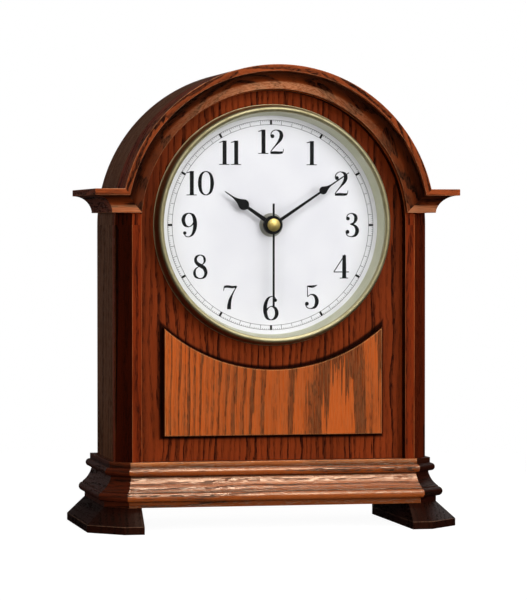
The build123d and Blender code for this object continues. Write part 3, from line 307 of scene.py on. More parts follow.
@dataclass(frozen=True)
class Grain:
    """How a piece lies in the log that it was sawn from.

    Attributes:
        pith: Where the middle of the log lies, across the piece and in depth.
        tilt: How far the middle leans away for each millimetre along the grain.
        start: Where along the log the piece begins.
    """

    pith: tuple[float, float] = (0.0, 60.0)
    tilt: float = 0.02
    start: float = 0.0

    def place(self, across: Array, depth: Array, along: Array) -> Array:
        """Place in the log: across - p, depth - q + tilt * along, and along counted from the start."""
        leaned = depth - self.pith[1] + self.tilt * along
        return np.stack([across - self.pith[0], leaned, along + self.start], -1)

    def upright(self, points: Array) -> Array:
        """Grain of a board that stands with its fibres along Z."""
        return self.place(points[..., 0], points[..., 1], points[..., 2])

    def crosswise(self, points: Array) -> Array:
        """Grain of a length with its fibres along X."""
        return self.place(points[..., 2], points[..., 1], points[..., 0])

    def front_to_back(self, points: Array) -> Array:
        """Grain of a length with its fibres along Y."""
        return self.place(points[..., 2], points[..., 0], points[..., 1])

    def tangent(self, points: Array, angle: float) -> Array:
        """Grain of a sawn segment of the arch, with straight fibres.

        Args:
            points: Places of shape (..., 3).
            angle: Angle on the arch whose tangent the fibres follow.

        Returns:
            The place of each point in the log.
        """
        x, rise = points[..., 0], points[..., 2] - AT.arch_z
        across = x * np.cos(angle) + rise * np.sin(angle)
        along = rise * np.cos(angle) - x * np.sin(angle)
        return self.place(across, points[..., 1], along)


@dataclass
class Surface:
    """Closed surface of one piece.

    Attributes:
        points: Places of shape (n, 3), in millimetres.
        faces: Corner numbers of each face.
        grain: Place of each point in its log, of shape (n, 3).
        edge: Rubbed wear on rounded edges and painted highlights, from 0 to 1, of shape (n,).
        glaze: How much painted shade lies on each point, from 0 to 1, of shape (n,); on the bezel's wall
            it stands for a painted reflection of the wood.
    """

    points: Array
    faces: list[list[int]]
    grain: Array
    edge: Array
    glaze: Array

    @classmethod
    def loft(cls, loops: Array, grain: Array | None = None, edge: Array | float = 0.0,
             glaze: Array | float = 0.0, ring: bool = False) -> "Surface":
        """Surface carried through a row of loops that have equal numbers of points.

        Each face joins two neighbours of one loop with the same two of the next. The first and last loops are
        filled, or in a ring the last one joins the first.

        Args:
            loops: Points of shape (rows, columns, 3); a loop is one row.
            grain: Place of each point in its log; the points themselves where there is none.
            edge: Wear and painted highlight of each column, or of each point.
            glaze: Painted shade on each column, or on each point.
            ring: Whether the rows close on themselves.

        Returns:
            The surface.
        """
        rows, columns = loops.shape[:2]
        index = np.arange(rows * columns).reshape(rows, columns)
        here = index if ring else index[:-1]
        there = np.roll(index, -1, axis=0) if ring else index[1:]
        quads = np.stack([here, np.roll(here, -1, 1), np.roll(there, -1, 1), there], -1).reshape(-1, 4)
        faces = quads.tolist()
        if not ring:
            faces += [index[0, ::-1].tolist(), index[-1].tolist()]
        worn, dark = (np.broadcast_to(value, (rows, columns)).reshape(-1) for value in (edge, glaze))
        wood = loops if grain is None else grain
        return cls(loops.reshape(-1, 3), faces, wood.reshape(-1, 3), worn, dark)

    def __add__(self, other: "Surface") -> "Surface":
        """Both surfaces as separate shells of one piece.

        Args:
            other: The surface to add.

        Returns:
            A surface with the points and faces of both.
        """
        shift = len(self.points)
        faces = self.faces + [[corner + shift for corner in face] for face in other.faces]
        pairs = [(self.points, other.points), (self.grain, other.grain), (self.edge, other.edge),
                 (self.glaze, other.glaze)]
        points, grain, edge, glaze = (np.concatenate(pair) for pair in pairs)
        return Surface(points, faces, grain, edge, glaze)

    def mirrored(self) -> "Surface":
        """The same piece on the other side of the clock, sawn from another place along the log."""
        other_log = self.grain + [0.0, 0.0, OTHER_LOG]
        return Surface(self.points * [-1, 1, 1], self.faces, other_log, self.edge, self.glaze)


def total(surfaces: Sequence[Surface]) -> Surface:
    """Several shells as one piece."""
    return reduce(Surface.__add__, surfaces)


def both_sides(left: Surface) -> list[tuple[Side, Surface]]:
    """A left piece for the left side, and its mirror image for the right."""
    return [(Side.LEFT, left), (Side.RIGHT, left.mirrored())]


def turned(section: Array, glaze: Array | float = 0.0, steps: int = 240) -> Surface:
    """Ring turned about the dial's axis.

    Args:
        section: Closed outline of (radius, depth) points.
        glaze: Painted shade on each section point; on the bezel's wall, a painted reflection of the wood.
        steps: Number of spans round the axis.

    Returns:
        A surface closed both ways.
    """
    angle = np.linspace(0, 2 * np.pi, steps, endpoint=False)[:, None]
    return Surface.loft(about_dial(section[:, 0], angle, section[:, 1]), glaze=glaze, ring=True)


def in_scene(name: str, data: bpy.types.ID) -> bpy.types.Object:
    """New object of the scene, at the origin.

    Args:
        name: Its name.
        data: Its mesh, camera or lamp.

    Returns:
        The object.
    """
    item = bpy.data.objects.new(name, data)
    bpy.context.scene.collection.objects.link(item)
    return item


def add_piece(name: str, surface: Surface, material: bpy.types.Material, node: str = "",
              body: Body = Body.CASE) -> None:
    """Makes a surface into an object at the origin that rides on a body.

    Args:
        name: Name of the piece.
        surface: Its closed surface.
        material: Its finish.
        node: The frame node that it is shown instead of, if there is one.
        body: The body that carries it.
    """
    mesh = bpy.data.meshes.new(name)
    mesh.from_pydata(surface.points * MM, [], surface.faces)
    shell = bmesh.new()
    shell.from_mesh(mesh)
    bmesh.ops.recalc_face_normals(shell, faces=shell.faces)
    shell.to_mesh(mesh)
    shell.free()
    grain = mesh.attributes.new("grain", "FLOAT_VECTOR", "POINT")
    grain.data.foreach_set("vector", surface.grain.astype(np.float32).ravel())
    # The edge layer holds rubbed wear and painted highlights, and the other layer painted shade.
    for kind, values in (("edge", surface.edge), ("glaze", surface.glaze)):
        layer = mesh.attributes.new(kind, "FLOAT", "POINT")
        layer.data.foreach_set("value", values.astype(np.float32))
    mesh.polygons.foreach_set("use_smooth", np.ones(len(mesh.polygons), bool))
    mesh.set_sharp_from_angle(angle=SHARP_ANGLE)
    mesh.materials.append(material)
    piece = in_scene(name, mesh)
    normals = piece.modifiers.new("flat_faces_stay_flat", "WEIGHTED_NORMAL")
    normals.keep_sharp = True
    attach(piece, body.value)
    if node:
        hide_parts(node)
    log.info("%s: %d faces on %s", name, len(mesh.polygons), body.value)


# Finishes


class Nodes:
    """Short calls for the node tree of one material or world."""

    def __init__(self, owner: bpy.types.Material | bpy.types.World, shader: str) -> None:
        """Starts a tree with one shader.

        Args:
            owner: The new material or world.
            shader: Name of the shader's node.
        """
        owner.use_nodes = True
        self.owner = owner
        self.tree = owner.node_tree
        self.shader = self.tree.nodes[shader]

    @classmethod
    def of_material(cls, name: str) -> "Nodes":
        """Tree of a new material."""
        return cls(bpy.data.materials.new(name), "Principled BSDF")

    def add(self, kind: str, **settings: object) -> bpy.types.Node:
        """Adds a node and sets its options.

        Args:
            kind: Type of the node, without the words that all types begin with.
            settings: Its options by name.

        Returns:
            The node.
        """
        node = self.tree.nodes.new("ShaderNode" + kind)
        for option, value in settings.items():
            setattr(node, option, value)
        return node

    def feed(self, socket: Socket, value: object) -> None:
        """Links an output to an input, or sets the input to a plain value.

        Args:
            socket: The input.
            value: An output or a plain value.
        """
        if isinstance(value, Socket):
            self.tree.links.new(value, socket)
        else:
            socket.default_value = value

    def fed(self, node: bpy.types.Node, *values: object, **named: object) -> bpy.types.NodeOutputs:
        """Feeds a node's inputs.

        Args:
            node: The node.
            values: Outputs or plain values for its first inputs, in order.
            named: The same by the input's name, in lower case with underscores.

        Returns:
            The node's outputs.
        """
        for socket, value in zip(node.inputs, values):
            self.feed(socket, value)
        for name, value in named.items():
            words = name.replace("_", " ")
            self.feed(next(socket for socket in node.inputs if socket.name.lower() == words), value)
        return node.outputs

    def shade(self, **inputs: object) -> None:
        """Feeds the shader's inputs by name."""
        self.fed(self.shader, **inputs)

    def math(self, operation: str, *values: object, clamp: bool = False) -> Socket:
        """Sum, product or other function of numbers."""
        return self.fed(self.add("Math", operation=operation, use_clamp=clamp), *values)[0]

    def stretched(self, vector: Socket, factors: Sequence[float]) -> Socket:
        """Vector with each part multiplied by its own factor."""
        return self.fed(self.add("VectorMath", operation="MULTIPLY"), vector, tuple(factors))[0]

    def length(self, vector: Socket) -> Socket:
        """Length of a vector."""
        return self.fed(self.add("VectorMath", operation="LENGTH"), vector)["Value"]

    def split(self, vector: Socket) -> list[Socket]:
        """The three parts of a vector."""
        return list(self.fed(self.add("SeparateXYZ"), vector))

    def attribute(self, name: str, output: str = "Fac") -> Socket:
        """Number or vector that the mesh carries at its points."""
        return self.add("Attribute", attribute_name=name).outputs[output]

    def place(self, centre: tuple[float, float, float] = (0.0, 0.0, 0.0)) -> Socket:
        """Place on the object in millimetres.

        Args:
            centre: Where it is counted from.

        Returns:
            The place as a vector.
        """
        mapping = self.add("Mapping", vector_type="POINT")
        return self.fed(mapping, vector=self.add("TexCoord").outputs["Object"], scale=(1 / MM,) * 3,
                        location=tuple(-c for c in centre))[0]

    def clouds(self, vector: Socket, factors: Sequence[float] | float, detail: float = 2.0,
               roughness: float = 0.5) -> Socket:
        """Cloudy value round 0.5.

        Args:
            vector: Place.
            factors: Clouds for each unit along each part of the place, or along all of them.
            detail: How many finer clouds lie in it.
            roughness: How strong those are.

        Returns:
            The value.
        """
        parts = (factors,) * 3 if isinstance(factors, float) else factors
        place = self.stretched(vector, parts)
        node = self.add("TexNoise")
        return self.fed(node, vector=place, scale=1.0, detail=detail, roughness=roughness)["Fac"]

    def between(self, value: Socket, start: float, end: float, first: float = 0.0,
                last: float = 1.0) -> Socket:
        """Smooth step.

        Args:
            value: What it is a step of.
            start: Where it begins.
            end: Where it ends.
            first: Its value up to the start.
            last: Its value from the end on.

        Returns:
            The stepped value.
        """
        node = self.add("MapRange", interpolation_type="SMOOTHSTEP")
        return self.fed(node, value, start, end, first, last)["Result"]

    def ramp(self, value: Socket, *stops: tuple[float, float]) -> Socket:
        """Grey value read off a curve.

        Args:
            value: Place on the curve.
            stops: Rows of (place, value).

        Returns:
            The value at that place.
        """
        node = self.add("ValToRGB")
        node.color_ramp.interpolation = "EASE"
        elements = node.color_ramp.elements
        while len(elements) < len(stops):
            elements.new(0.5)
        for element, (at, level) in zip(elements, stops):
            element.position = at
            element.color = (level, level, level, 1.0)
        return self.fed(node, value)[0]

    def mix(self, share: object, first: object, second: object, blend: str = "MIX") -> Socket:
        """Blend of two colours.

        Args:
            share: How much of the second colour is taken.
            first: First colour.
            second: Second colour.
            blend: How they are blended.

        Returns:
            The blended colour.
        """
        node = self.add("Mix", data_type="RGBA", blend_type=blend)
        self.feed(node.inputs[0], share)
        self.feed(node.inputs[6], first)
        self.feed(node.inputs[7], second)
        return node.outputs[2]

    def bump(self, height: Socket, distance: float, strength: float = 1.0) -> Socket:
        """Normal of a surface that rises with a height.

        Args:
            height: The height, from 0 to 1.
            distance: How far it rises, in millimetres.
            strength: How much of it shows.

        Returns:
            The normal.
        """
        return self.fed(self.add("Bump"), height=height, distance=distance * MM, strength=strength)[0]


# Clouds of wood noise for each millimetre across the log, in its depth and along the grain
SLOW_SWAY = (0.022, 0.022, 0.006)
QUICK_SWAY = (0.12, 0.12, 0.035)
FEATHERS = (0.7, 0.7, 0.016)
FIBRES = (1.9, 1.9, 0.05)
FINE_PORES = (2.8, 2.8, 0.13)
LONG_PORES = (1.25, 1.25, 0.17)
STAIN = (0.035, 0.035, 0.011)

# Steps in that noise: where they begin and end, and the values before and after
FINE_STEP = (0.52, 0.64)
LONG_STEP = (0.50, 0.60)
STAIN_STEP = (0.35, 0.75, 0.0, 0.28)
SHEEN_STEP = (0.3, 0.8, 0.0, 0.06)
WEAR_STEP = (0.35, 0.6, 0.15, 0.7)

# Share of early wood from the start of a year ring to its end
YEAR = ((0.0, 0.85), (0.10, 1.0), (0.30, 0.75), (0.55, 0.16), (0.90, 0.0), (1.0, 0.30))

# Factors that leave the distance from an axis along Y
FROM_AXIS = (1.0, 0.0, 1.0)


@dataclass(frozen=True)
class Finish:
    """Look of a piece.

    Attributes:
        name: Name of the material.
    """

    name: str

    def draw(self, n: Nodes) -> None:
        """Draws the finish into the node tree of a material."""

    def material(self) -> bpy.types.Material:
        """New material with this finish.

        Returns:
            The material.
        """
        n = Nodes.of_material(self.name)
        self.draw(n)
        return n.owner


@dataclass(frozen=True)
class WoodFinish(Finish):
    """Stained ring-porous wood under lacquer.

    Attributes:
        late: Colour of the dense late wood.
        early: Colour of the porous early wood, which takes up more stain.
        pore: Colour of the open pores.
        worn: Colour of rubbed edges, and of the painted highlights that the edge layer also carries.
        glaze: Tint of the painted shade in hollows and on turned-away faces.
        ring: Width of a year ring 100 mm from the log's middle, in millimetres.
        crowd: How much closer the rings stand further out; 1 where they are all as wide.
        sway: How far the rings wander, in millimetres.
        first: Number of the ring in the log's middle. The number sets how dark a ring is.
        lean: How far the rings, but not the fibres, draw away from the face for each millimetre along
            the grain.
        feather: How far their edges are drawn out along the grain, in shares of a ring.
        figure: How strongly the rings show.
        pores: How strongly the pores show.
        roughness: Roughness of the lacquer.
        gloss: Level of reflection.
        lacquer: Tint of the reflections.
    """

    late: Colour
    early: Colour
    pore: Colour
    worn: Colour
    glaze: Colour = (52, 26, 20)
    ring: float = 3.4
    crowd: float = 1.0
    sway: float = 5.0
    first: float = 0.0
    lean: float = 0.0
    feather: float = 0.4
    figure: float = 0.85
    pores: float = 0.8
    roughness: float = 0.36
    gloss: float = 0.06
    lacquer: Colour = (255, 226, 190)

    def dark_share(self, n: Nodes) -> Socket:
        """How much painted shade lies at a place."""
        return n.attribute("glaze")

    def draw(self, n: Nodes) -> None:
        """Year rings, fibres and pores.

        The ring number is a power of the distance from the log's middle, moved by slow noise, over the ring's
        width. Its fraction gives early wood and then late wood, and fine noise drawn out along the grain
        gives fibres and pores, which lie mostly in the early wood.

        Args:
            n: Node tree of the material.
        """
        grain = n.attribute("grain", "Vector")
        across, depth, along = n.split(grain)
        leaned = n.math("MULTIPLY_ADD", along, self.lean, depth)
        flat = n.math("SQRT", n.math("MULTIPLY_ADD", across, across, n.math("MULTIPLY", leaned, leaned)))
        quick = n.math("MULTIPLY", n.clouds(grain, QUICK_SWAY), 0.5 * self.sway)
        wander = n.math("MULTIPLY_ADD", n.clouds(grain, SLOW_SWAY), 2 * self.sway, quick)
        hundreds = n.math("MULTIPLY", n.math("ADD", flat, wander), 0.01)
        rings = n.math("MULTIPLY", n.math("POWER", hundreds, self.crowd), 100 / (self.crowd * self.ring))
        rings = n.math("ADD", rings, self.first)
        rings = n.math("MULTIPLY_ADD", n.clouds(grain, FEATHERS), 2 * self.feather, rings)
        tone = n.fed(n.add("TexWhiteNoise", noise_dimensions="1D"), w=n.math("FLOOR", rings))["Value"]
        year = n.ramp(n.math("FRACT", rings), *YEAR)
        early = n.math("MULTIPLY", year, n.math("ADD", tone, 0.25), clamp=True)
        fibre = n.clouds(grain, FIBRES, 3.0, 0.6)
        fine = n.between(n.clouds(grain, FINE_PORES, 1.0), *FINE_STEP)
        dash = n.between(n.clouds(grain, LONG_PORES, 1.0), *LONG_STEP)
        near_early = n.math("MULTIPLY_ADD", early, 0.85, 0.15)
        holes = n.math("MULTIPLY", n.math("MAXIMUM", n.math("MULTIPLY", fine, 0.7), dash), near_early)
        cloud = n.clouds(grain, STAIN)
        drawn = n.math("MULTIPLY_ADD", dash, 0.35 * self.figure, 0.65 * self.figure)
        share = n.math("MULTIPLY", early, drawn)
        share = n.math("ADD", share, n.math("MULTIPLY_ADD", fibre, 0.6, -0.3), clamp=True)
        colour = n.mix(share, linear(self.late), linear(self.early))
        colour = n.mix(n.between(cloud, *STAIN_STEP), colour, linear(self.early))
        colour = n.mix(n.math("MULTIPLY", holes, self.pores), colour, linear(self.pore))
        # Rubbed wear and painted highlights, broken up by the fibres, in the worn colour.
        edge = n.math("MULTIPLY", n.attribute("edge"), n.between(fibre, *WEAR_STEP))
        colour = n.mix(edge, colour, linear(self.worn))
        # Painted shade, multiplied in with its tint.
        colour = n.mix(self.dark_share(n), colour, linear(self.glaze), "MULTIPLY")
        sheen = n.between(cloud, *SHEEN_STEP)
        rough = n.math("ADD", n.math("MULTIPLY_ADD", holes, 0.6, self.roughness), sheen)
        relief = n.math("SUBTRACT", n.math("MULTIPLY", fibre, 0.25), holes)
        n.shade(base_color=colour, roughness=rough, normal=n.bump(relief, 0.18, 0.8),
                specular_ior_level=self.gloss, specular_tint=linear(self.lacquer))


@dataclass(frozen=True)
class RecessedFinish(WoodFinish):
    """Wood of the recessed panel, with painted shade gathered in the corner round the raised panel.

    Attributes:
        reach: How far the painted shade spreads from the raised panel, in millimetres.
        solid: How far it is quite dark.
        strength: How dark it is there.
        depths: Depths behind the panel's front between which it ends.
    """

    reach: float = 3.0
    solid: float = 1.1
    strength: float = 0.95
    depths: tuple[float, float] = (0.2, 0.8)

    def dark_share(self, n: Nodes) -> Socket:
        """Painted shade by the distance from the raised panel: the most of those from its sides, foot and
        hollow.

        Args:
            n: Node tree of the finish.

        Returns:
            The share, which is 0 behind the panel's front.
        """
        across, back, up = n.split(n.place())
        beside = n.math("SUBTRACT", n.math("ABSOLUTE", across), high("raised_panel")[0])
        below = n.math("SUBTRACT", low("raised_panel")[2], up)
        from_centre = n.place((0.0, 0.0, AT.hollow + AT.hollow_radius))
        above = n.math("SUBTRACT", AT.hollow_radius, n.length(n.stretched(from_centre, FROM_AXIS)))
        away = n.math("MAXIMUM", n.math("MAXIMUM", beside, below), above)
        start, end = AT.panel_front + np.array(self.depths)
        on_front = n.between(back, start, end, self.strength, 0.0)
        return n.math("MULTIPLY", n.between(away, self.solid, self.reach, 1.0, 0.0), on_front)


@dataclass(frozen=True)
class MetalFinish(Finish):
    """Bright metal with fine tool marks and a little tarnish.

    Attributes:
        colour: Colour of the clean metal.
        tarnish: Colour of the dull patches.
        toned: Colour of the wood that the metal mirrors, painted where the piece carries painted shade.
        roughness: Roughness of the clean metal.
        marks: Tool marks for each millimetre, along X, Y and Z.
        turned: Whether the marks run round the dial's axis.
        turning: Such marks for each millimetre of radius and of depth.
        spread: How much the marks and the dull patches change the roughness.
    """

    colour: Colour
    tarnish: Colour
    roughness: float = 0.2
    toned: Colour = (150, 98, 52)
    marks: tuple[float, float, float] = (3.0, 3.0, 0.1)
    turned: bool = False
    turning: float = 9.0
    spread: float = 0.14

    def draw(self, n: Nodes) -> None:
        """Tool marks: noise that is short across the tool's way and long along it.

        Args:
            n: Node tree of the material.
        """
        place = n.place((0.0, 0.0, AT.arch_z) if self.turned else (0.0, 0.0, 0.0))
        if self.turned:
            radius = n.length(n.stretched(place, FROM_AXIS))
            unrolled = n.fed(n.add("CombineXYZ"), radius, n.split(place)[1])[0]
            marks = n.clouds(unrolled, self.turning)
        else:
            marks = n.clouds(place, self.marks, 3.0)
        patches = n.between(n.clouds(place, 0.16, 4.0, 0.6), 0.42, 0.75, 0.0, 0.55)
        colour = n.mix(patches, linear(self.colour), linear(self.tarnish))
        # Painted reflection of the dark wood, on the bezel's wall.
        colour = n.mix(n.attribute("glaze"), colour, linear(self.toned))
        dull = n.math("MULTIPLY_ADD", patches, self.spread, self.roughness - self.spread / 2)
        rough = n.math("MULTIPLY_ADD", marks, self.spread, dull)
        n.shade(base_color=colour, roughness=rough, normal=n.bump(marks, 0.01, 0.35), metallic=1.0)


@dataclass(frozen=True)
class MouldedFinish(Finish):
    """Moulded plastic, paint or enamel with a fine surface.

    Attributes:
        colour: Main colour.
        shade: Colour of the faint clouds in it.
        roughness: Mean roughness.
        pebble: Height of the fine bumps, in millimetres.
        coat: Weight of a clear coat.
        metallic: How much of it is bare metal.
        gloss: Level of reflection.
        spread: How much the bumps change the roughness.
    """

    colour: Colour
    shade: Colour
    roughness: float = 0.4
    pebble: float = 0.01
    coat: float = 0.0
    metallic: float = 0.0
    gloss: float = 0.5
    spread: float = 0.1

    def draw(self, n: Nodes) -> None:
        """Slow noise for the clouds and quick noise for the bumps.

        Args:
            n: Node tree of the material.
        """
        place = n.place()
        bumps = n.clouds(place, 3.5)
        cloudy = n.between(n.clouds(place, 0.05, 3.0), 0.3, 0.7)
        colour = n.mix(cloudy, linear(self.colour), linear(self.shade))
        rough = n.math("MULTIPLY_ADD", bumps, self.spread, self.roughness - self.spread / 2)
        n.shade(base_color=colour, roughness=rough, normal=n.bump(bumps, self.pebble, 0.5),
                coat_weight=self.coat, metallic=self.metallic, specular_ior_level=self.gloss)


@dataclass(frozen=True)
class BandedFinish(Finish):
    """Finish that changes along one axis in bands, such as wire turns, board tracks or a cell's jacket.

    Attributes:
        first: Colour of the bands.
        second: Colour between them.
        axis: Which of X, Y and Z the bands follow.
        pitch: Width of a band and its gap, in millimetres.
        share: Share of the pitch that the band takes.
        roughness: Roughness all over.
        metallic: How much of it is bare metal.
        wander: How far the bands stray, in millimetres.
        blur: Share of the pitch that their edges take.
        spread: How much fine grit changes the roughness.
    """

    first: Colour
    second: Colour
    axis: int
    pitch: float
    share: float = 0.5
    roughness: float = 0.35
    metallic: float = 0.0
    wander: float = 0.0
    blur: float = 0.12
    spread: float = 0.12

    def draw(self, n: Nodes) -> None:
        """Bands: the fraction of the place along the axis over the pitch chooses the colour.

        Args:
            n: Node tree of the material.
        """
        place = n.place()
        stray = n.clouds(place, 0.35)
        along = n.math("MULTIPLY_ADD", stray, 2 * self.wander, n.split(place)[self.axis])
        turn = n.math("FRACT", n.math("DIVIDE", along, self.pitch))
        ended = n.between(turn, self.share, self.share + self.blur)
        band = n.math("SUBTRACT", n.between(turn, 0.0, self.blur), ended)
        rough = n.math("MULTIPLY_ADD", n.clouds(place, 2.5), self.spread, self.roughness - self.spread / 2)
        n.shade(base_color=n.mix(band, linear(self.second), linear(self.first)), metallic=self.metallic,
                roughness=rough, normal=n.bump(band, 0.05, 0.6))


@dataclass(frozen=True)
class LensFinish(Finish):
    """Clear flat glass: a faint mirror over what lies behind it.

    Attributes:
        mirror: How much it mirrors.
        tint: Linear colour of what it mirrors.
    """

    mirror: float = 0.02
    tint: Tint = (0.96, 0.98, 0.98, 1.0)

    def draw(self, n: Nodes) -> None:
        """Smooth mirror with little opacity, hardly roughened by dust.

        Args:
            n: Node tree of the material.
        """
        dust = n.clouds(n.place(), 0.4, 4.0)
        n.shade(base_color=self.tint, metallic=1.0, alpha=self.mirror,
                roughness=n.between(dust, 0.4, 0.8, 0.02, 0.06))


CASE_WOOD = WoodFinish("case_wood", (128, 44, 13), (56, 15, 5), (36, 11, 5), (176, 98, 52), figure=1.3)
SIDE_WOOD = WoodFinish("side_wood", (108, 66, 40), (76, 44, 25), (42, 24, 14), (140, 96, 66), figure=1.1)
HOOD_WOOD = WoodFinish("hood_wood", (154, 68, 28), (54, 18, 6), (32, 11, 5), (222, 150, 104), figure=1.3,
                       gloss=0.12)
MOULDING_WOOD = WoodFinish("moulding_wood", (168, 84, 36), (96, 40, 14), (26, 9, 4), (226, 138, 74), ring=2.6,
                           pores=0.9, roughness=0.14, gloss=0.9, lacquer=(255, 232, 200))
# Darker copy of the moulding wood for the plinth's sides and canted corners: painted shade.
SHADED_END_WOOD = WoodFinish("moulding_end_wood", (100, 38, 16), (60, 20, 8), (24, 9, 4), (130, 64, 34), ring=2.6,
                      roughness=0.28, gloss=0.2)
FOOT_WOOD = WoodFinish("foot_wood", (40, 14, 7), (26, 9, 5), (14, 6, 4), (150, 112, 88))
PANEL_WOOD = RecessedFinish("panel_wood", (132, 52, 20), (50, 17, 6), (38, 13, 6), (150, 80, 42), ring=3.8,
                            sway=8.0, figure=1.3, pores=0.65)
RAISED_WOOD = WoodFinish("raised_panel_wood", (186, 80, 22), (90, 31, 9), (70, 25, 8), (222, 156, 98),
                         ring=3.6, crowd=2.2, first=1.3, lean=0.22, feather=0.45, figure=1.4)
BACK_WOOD = WoodFinish("back_wood", (128, 84, 52), (98, 60, 36), (66, 38, 22), (150, 106, 70), ring=5.0,
                       figure=0.6, roughness=0.5, gloss=0.12)
CAP_BRASS = MetalFinish("cap_brass", (222, 200, 122), (200, 170, 92), 0.5, turned=True)
BEZEL_BRASS = MetalFinish("bezel_brass", (178, 169, 132), (156, 144, 102), 0.55, turned=True)
FITTING_BRASS = MetalFinish("fitting_brass", (226, 190, 116), (170, 128, 66), 0.28)
SPRING_STEEL = MetalFinish("spring_steel", (196, 197, 200), (150, 148, 144), 0.3)
REFLECTOR = MouldedFinish("reflector_enamel", (212, 212, 188), (198, 199, 172), 0.45, 0.003, gloss=0.2)
DIAL_WHITE = MouldedFinish("dial_white", (240, 240, 244), (234, 234, 239), 0.5, 0.004, gloss=0.3)
WASHER_WHITE = MouldedFinish("washer_white", (170, 170, 160), (146, 146, 138), 0.3, 0.01)
INK = MouldedFinish("dial_ink", (9, 9, 10), (14, 14, 15), 0.6, 0.004, gloss=0.1)
TRACK_INK = MouldedFinish("track_ink", (78, 78, 84), (62, 62, 68), 0.6, 0.004, gloss=0.1)
HAND_BLACK = MouldedFinish("hand_black", (8, 8, 9), (12, 12, 13), 0.4, 0.006, gloss=0.12)
PAN_PLASTIC = MouldedFinish("pan_plastic", (64, 64, 64), (54, 54, 55), 0.5, 0.05)
MOVEMENT_PLASTIC = MouldedFinish("movement_plastic", (40, 40, 42), (32, 32, 34), 0.45, 0.06)
WHEEL_PLASTIC = MouldedFinish("wheel_plastic", (236, 232, 214), (222, 216, 194), 0.38, 0.01, 0.1)
MAGNET_DARK = MouldedFinish("magnet_dark", (78, 78, 82), (60, 60, 62), 0.42, 0.03)
COIL_COPPER = BandedFinish("coil_copper", (206, 122, 70), (120, 60, 30), 0, 0.5, 0.6, 0.28, 1.0)
BOARD_GREEN = BandedFinish("board_green", (64, 132, 86), (32, 92, 54), 0, 2.2, 0.5, 0.4, 0.0, 1.6)
CELL_JACKET = BandedFinish("cell_jacket", (186, 142, 84), (60, 64, 74), 0, 40.0, 0.32, 0.3, 0.6)

# Finishes of the frame nodes that stay in view
DRESSED = (FITTING_BRASS, SPRING_STEEL, DIAL_WHITE, WASHER_WHITE, HAND_BLACK, PAN_PLASTIC, MOVEMENT_PLASTIC,
           WHEEL_PLASTIC, MAGNET_DARK, COIL_COPPER, BOARD_GREEN, CELL_JACKET, LensFinish("lens_glass"))


# Case


@dataclass
class Feet:
    """Two runner feet, each an upright band at the table and a slope up to the plinth."""

    overhang: float = 18.5
    neck: float = 7.0
    band: float = 4.7
    run: float = 33.0
    ease: float = 0.5
    grain: Grain = Grain((6.0, -60.0), 0.03)
    finish: WoodFinish = FOOT_WOOD

    def surface(self) -> Surface:
        """Left foot: the base's plan, moved out and cut off at the inner end, carried up to the plinth.

        Returns:
            The surface.
        """
        half = self.ease / 2
        slope = (self.neck - self.overhang) / (AT.foot_top - self.band)
        heights = np.array([0.0, half, self.band - self.ease, self.band - half, self.band, self.band + half,
                            self.band + self.ease, AT.foot_top])
        offsets = self.overhang + slope * np.maximum(heights - self.band, 0.0)
        at_edge = heights == self.band
        offsets[0] -= half
        offsets[at_edge] -= half / 4
        back_left, side, front = AT.base_corners(offsets)[:3].transpose(0, 2, 1)
        end = np.full_like(heights, self.run - self.overhang - AT.arch_radius)
        inner = [np.stack([end, corner[:, 1]], -1) for corner in (front, back_left)]
        plan = np.stack([back_left, side, front, *inner], 1)
        loops = at_heights(plan, heights[:, None])
        # The ring at the band's top edge takes the worn colour: a painted highlight line.
        return Surface.loft(loops, self.grain.front_to_back(loops), at_edge.astype(float)[:, None])

    def build(self) -> None:
        """Makes both feet."""
        material = self.finish.material()
        for side, surface in both_sides(self.surface()):
            node = f"foot_{side.word}"
            add_piece(f"runner_{node}", surface, material, node)


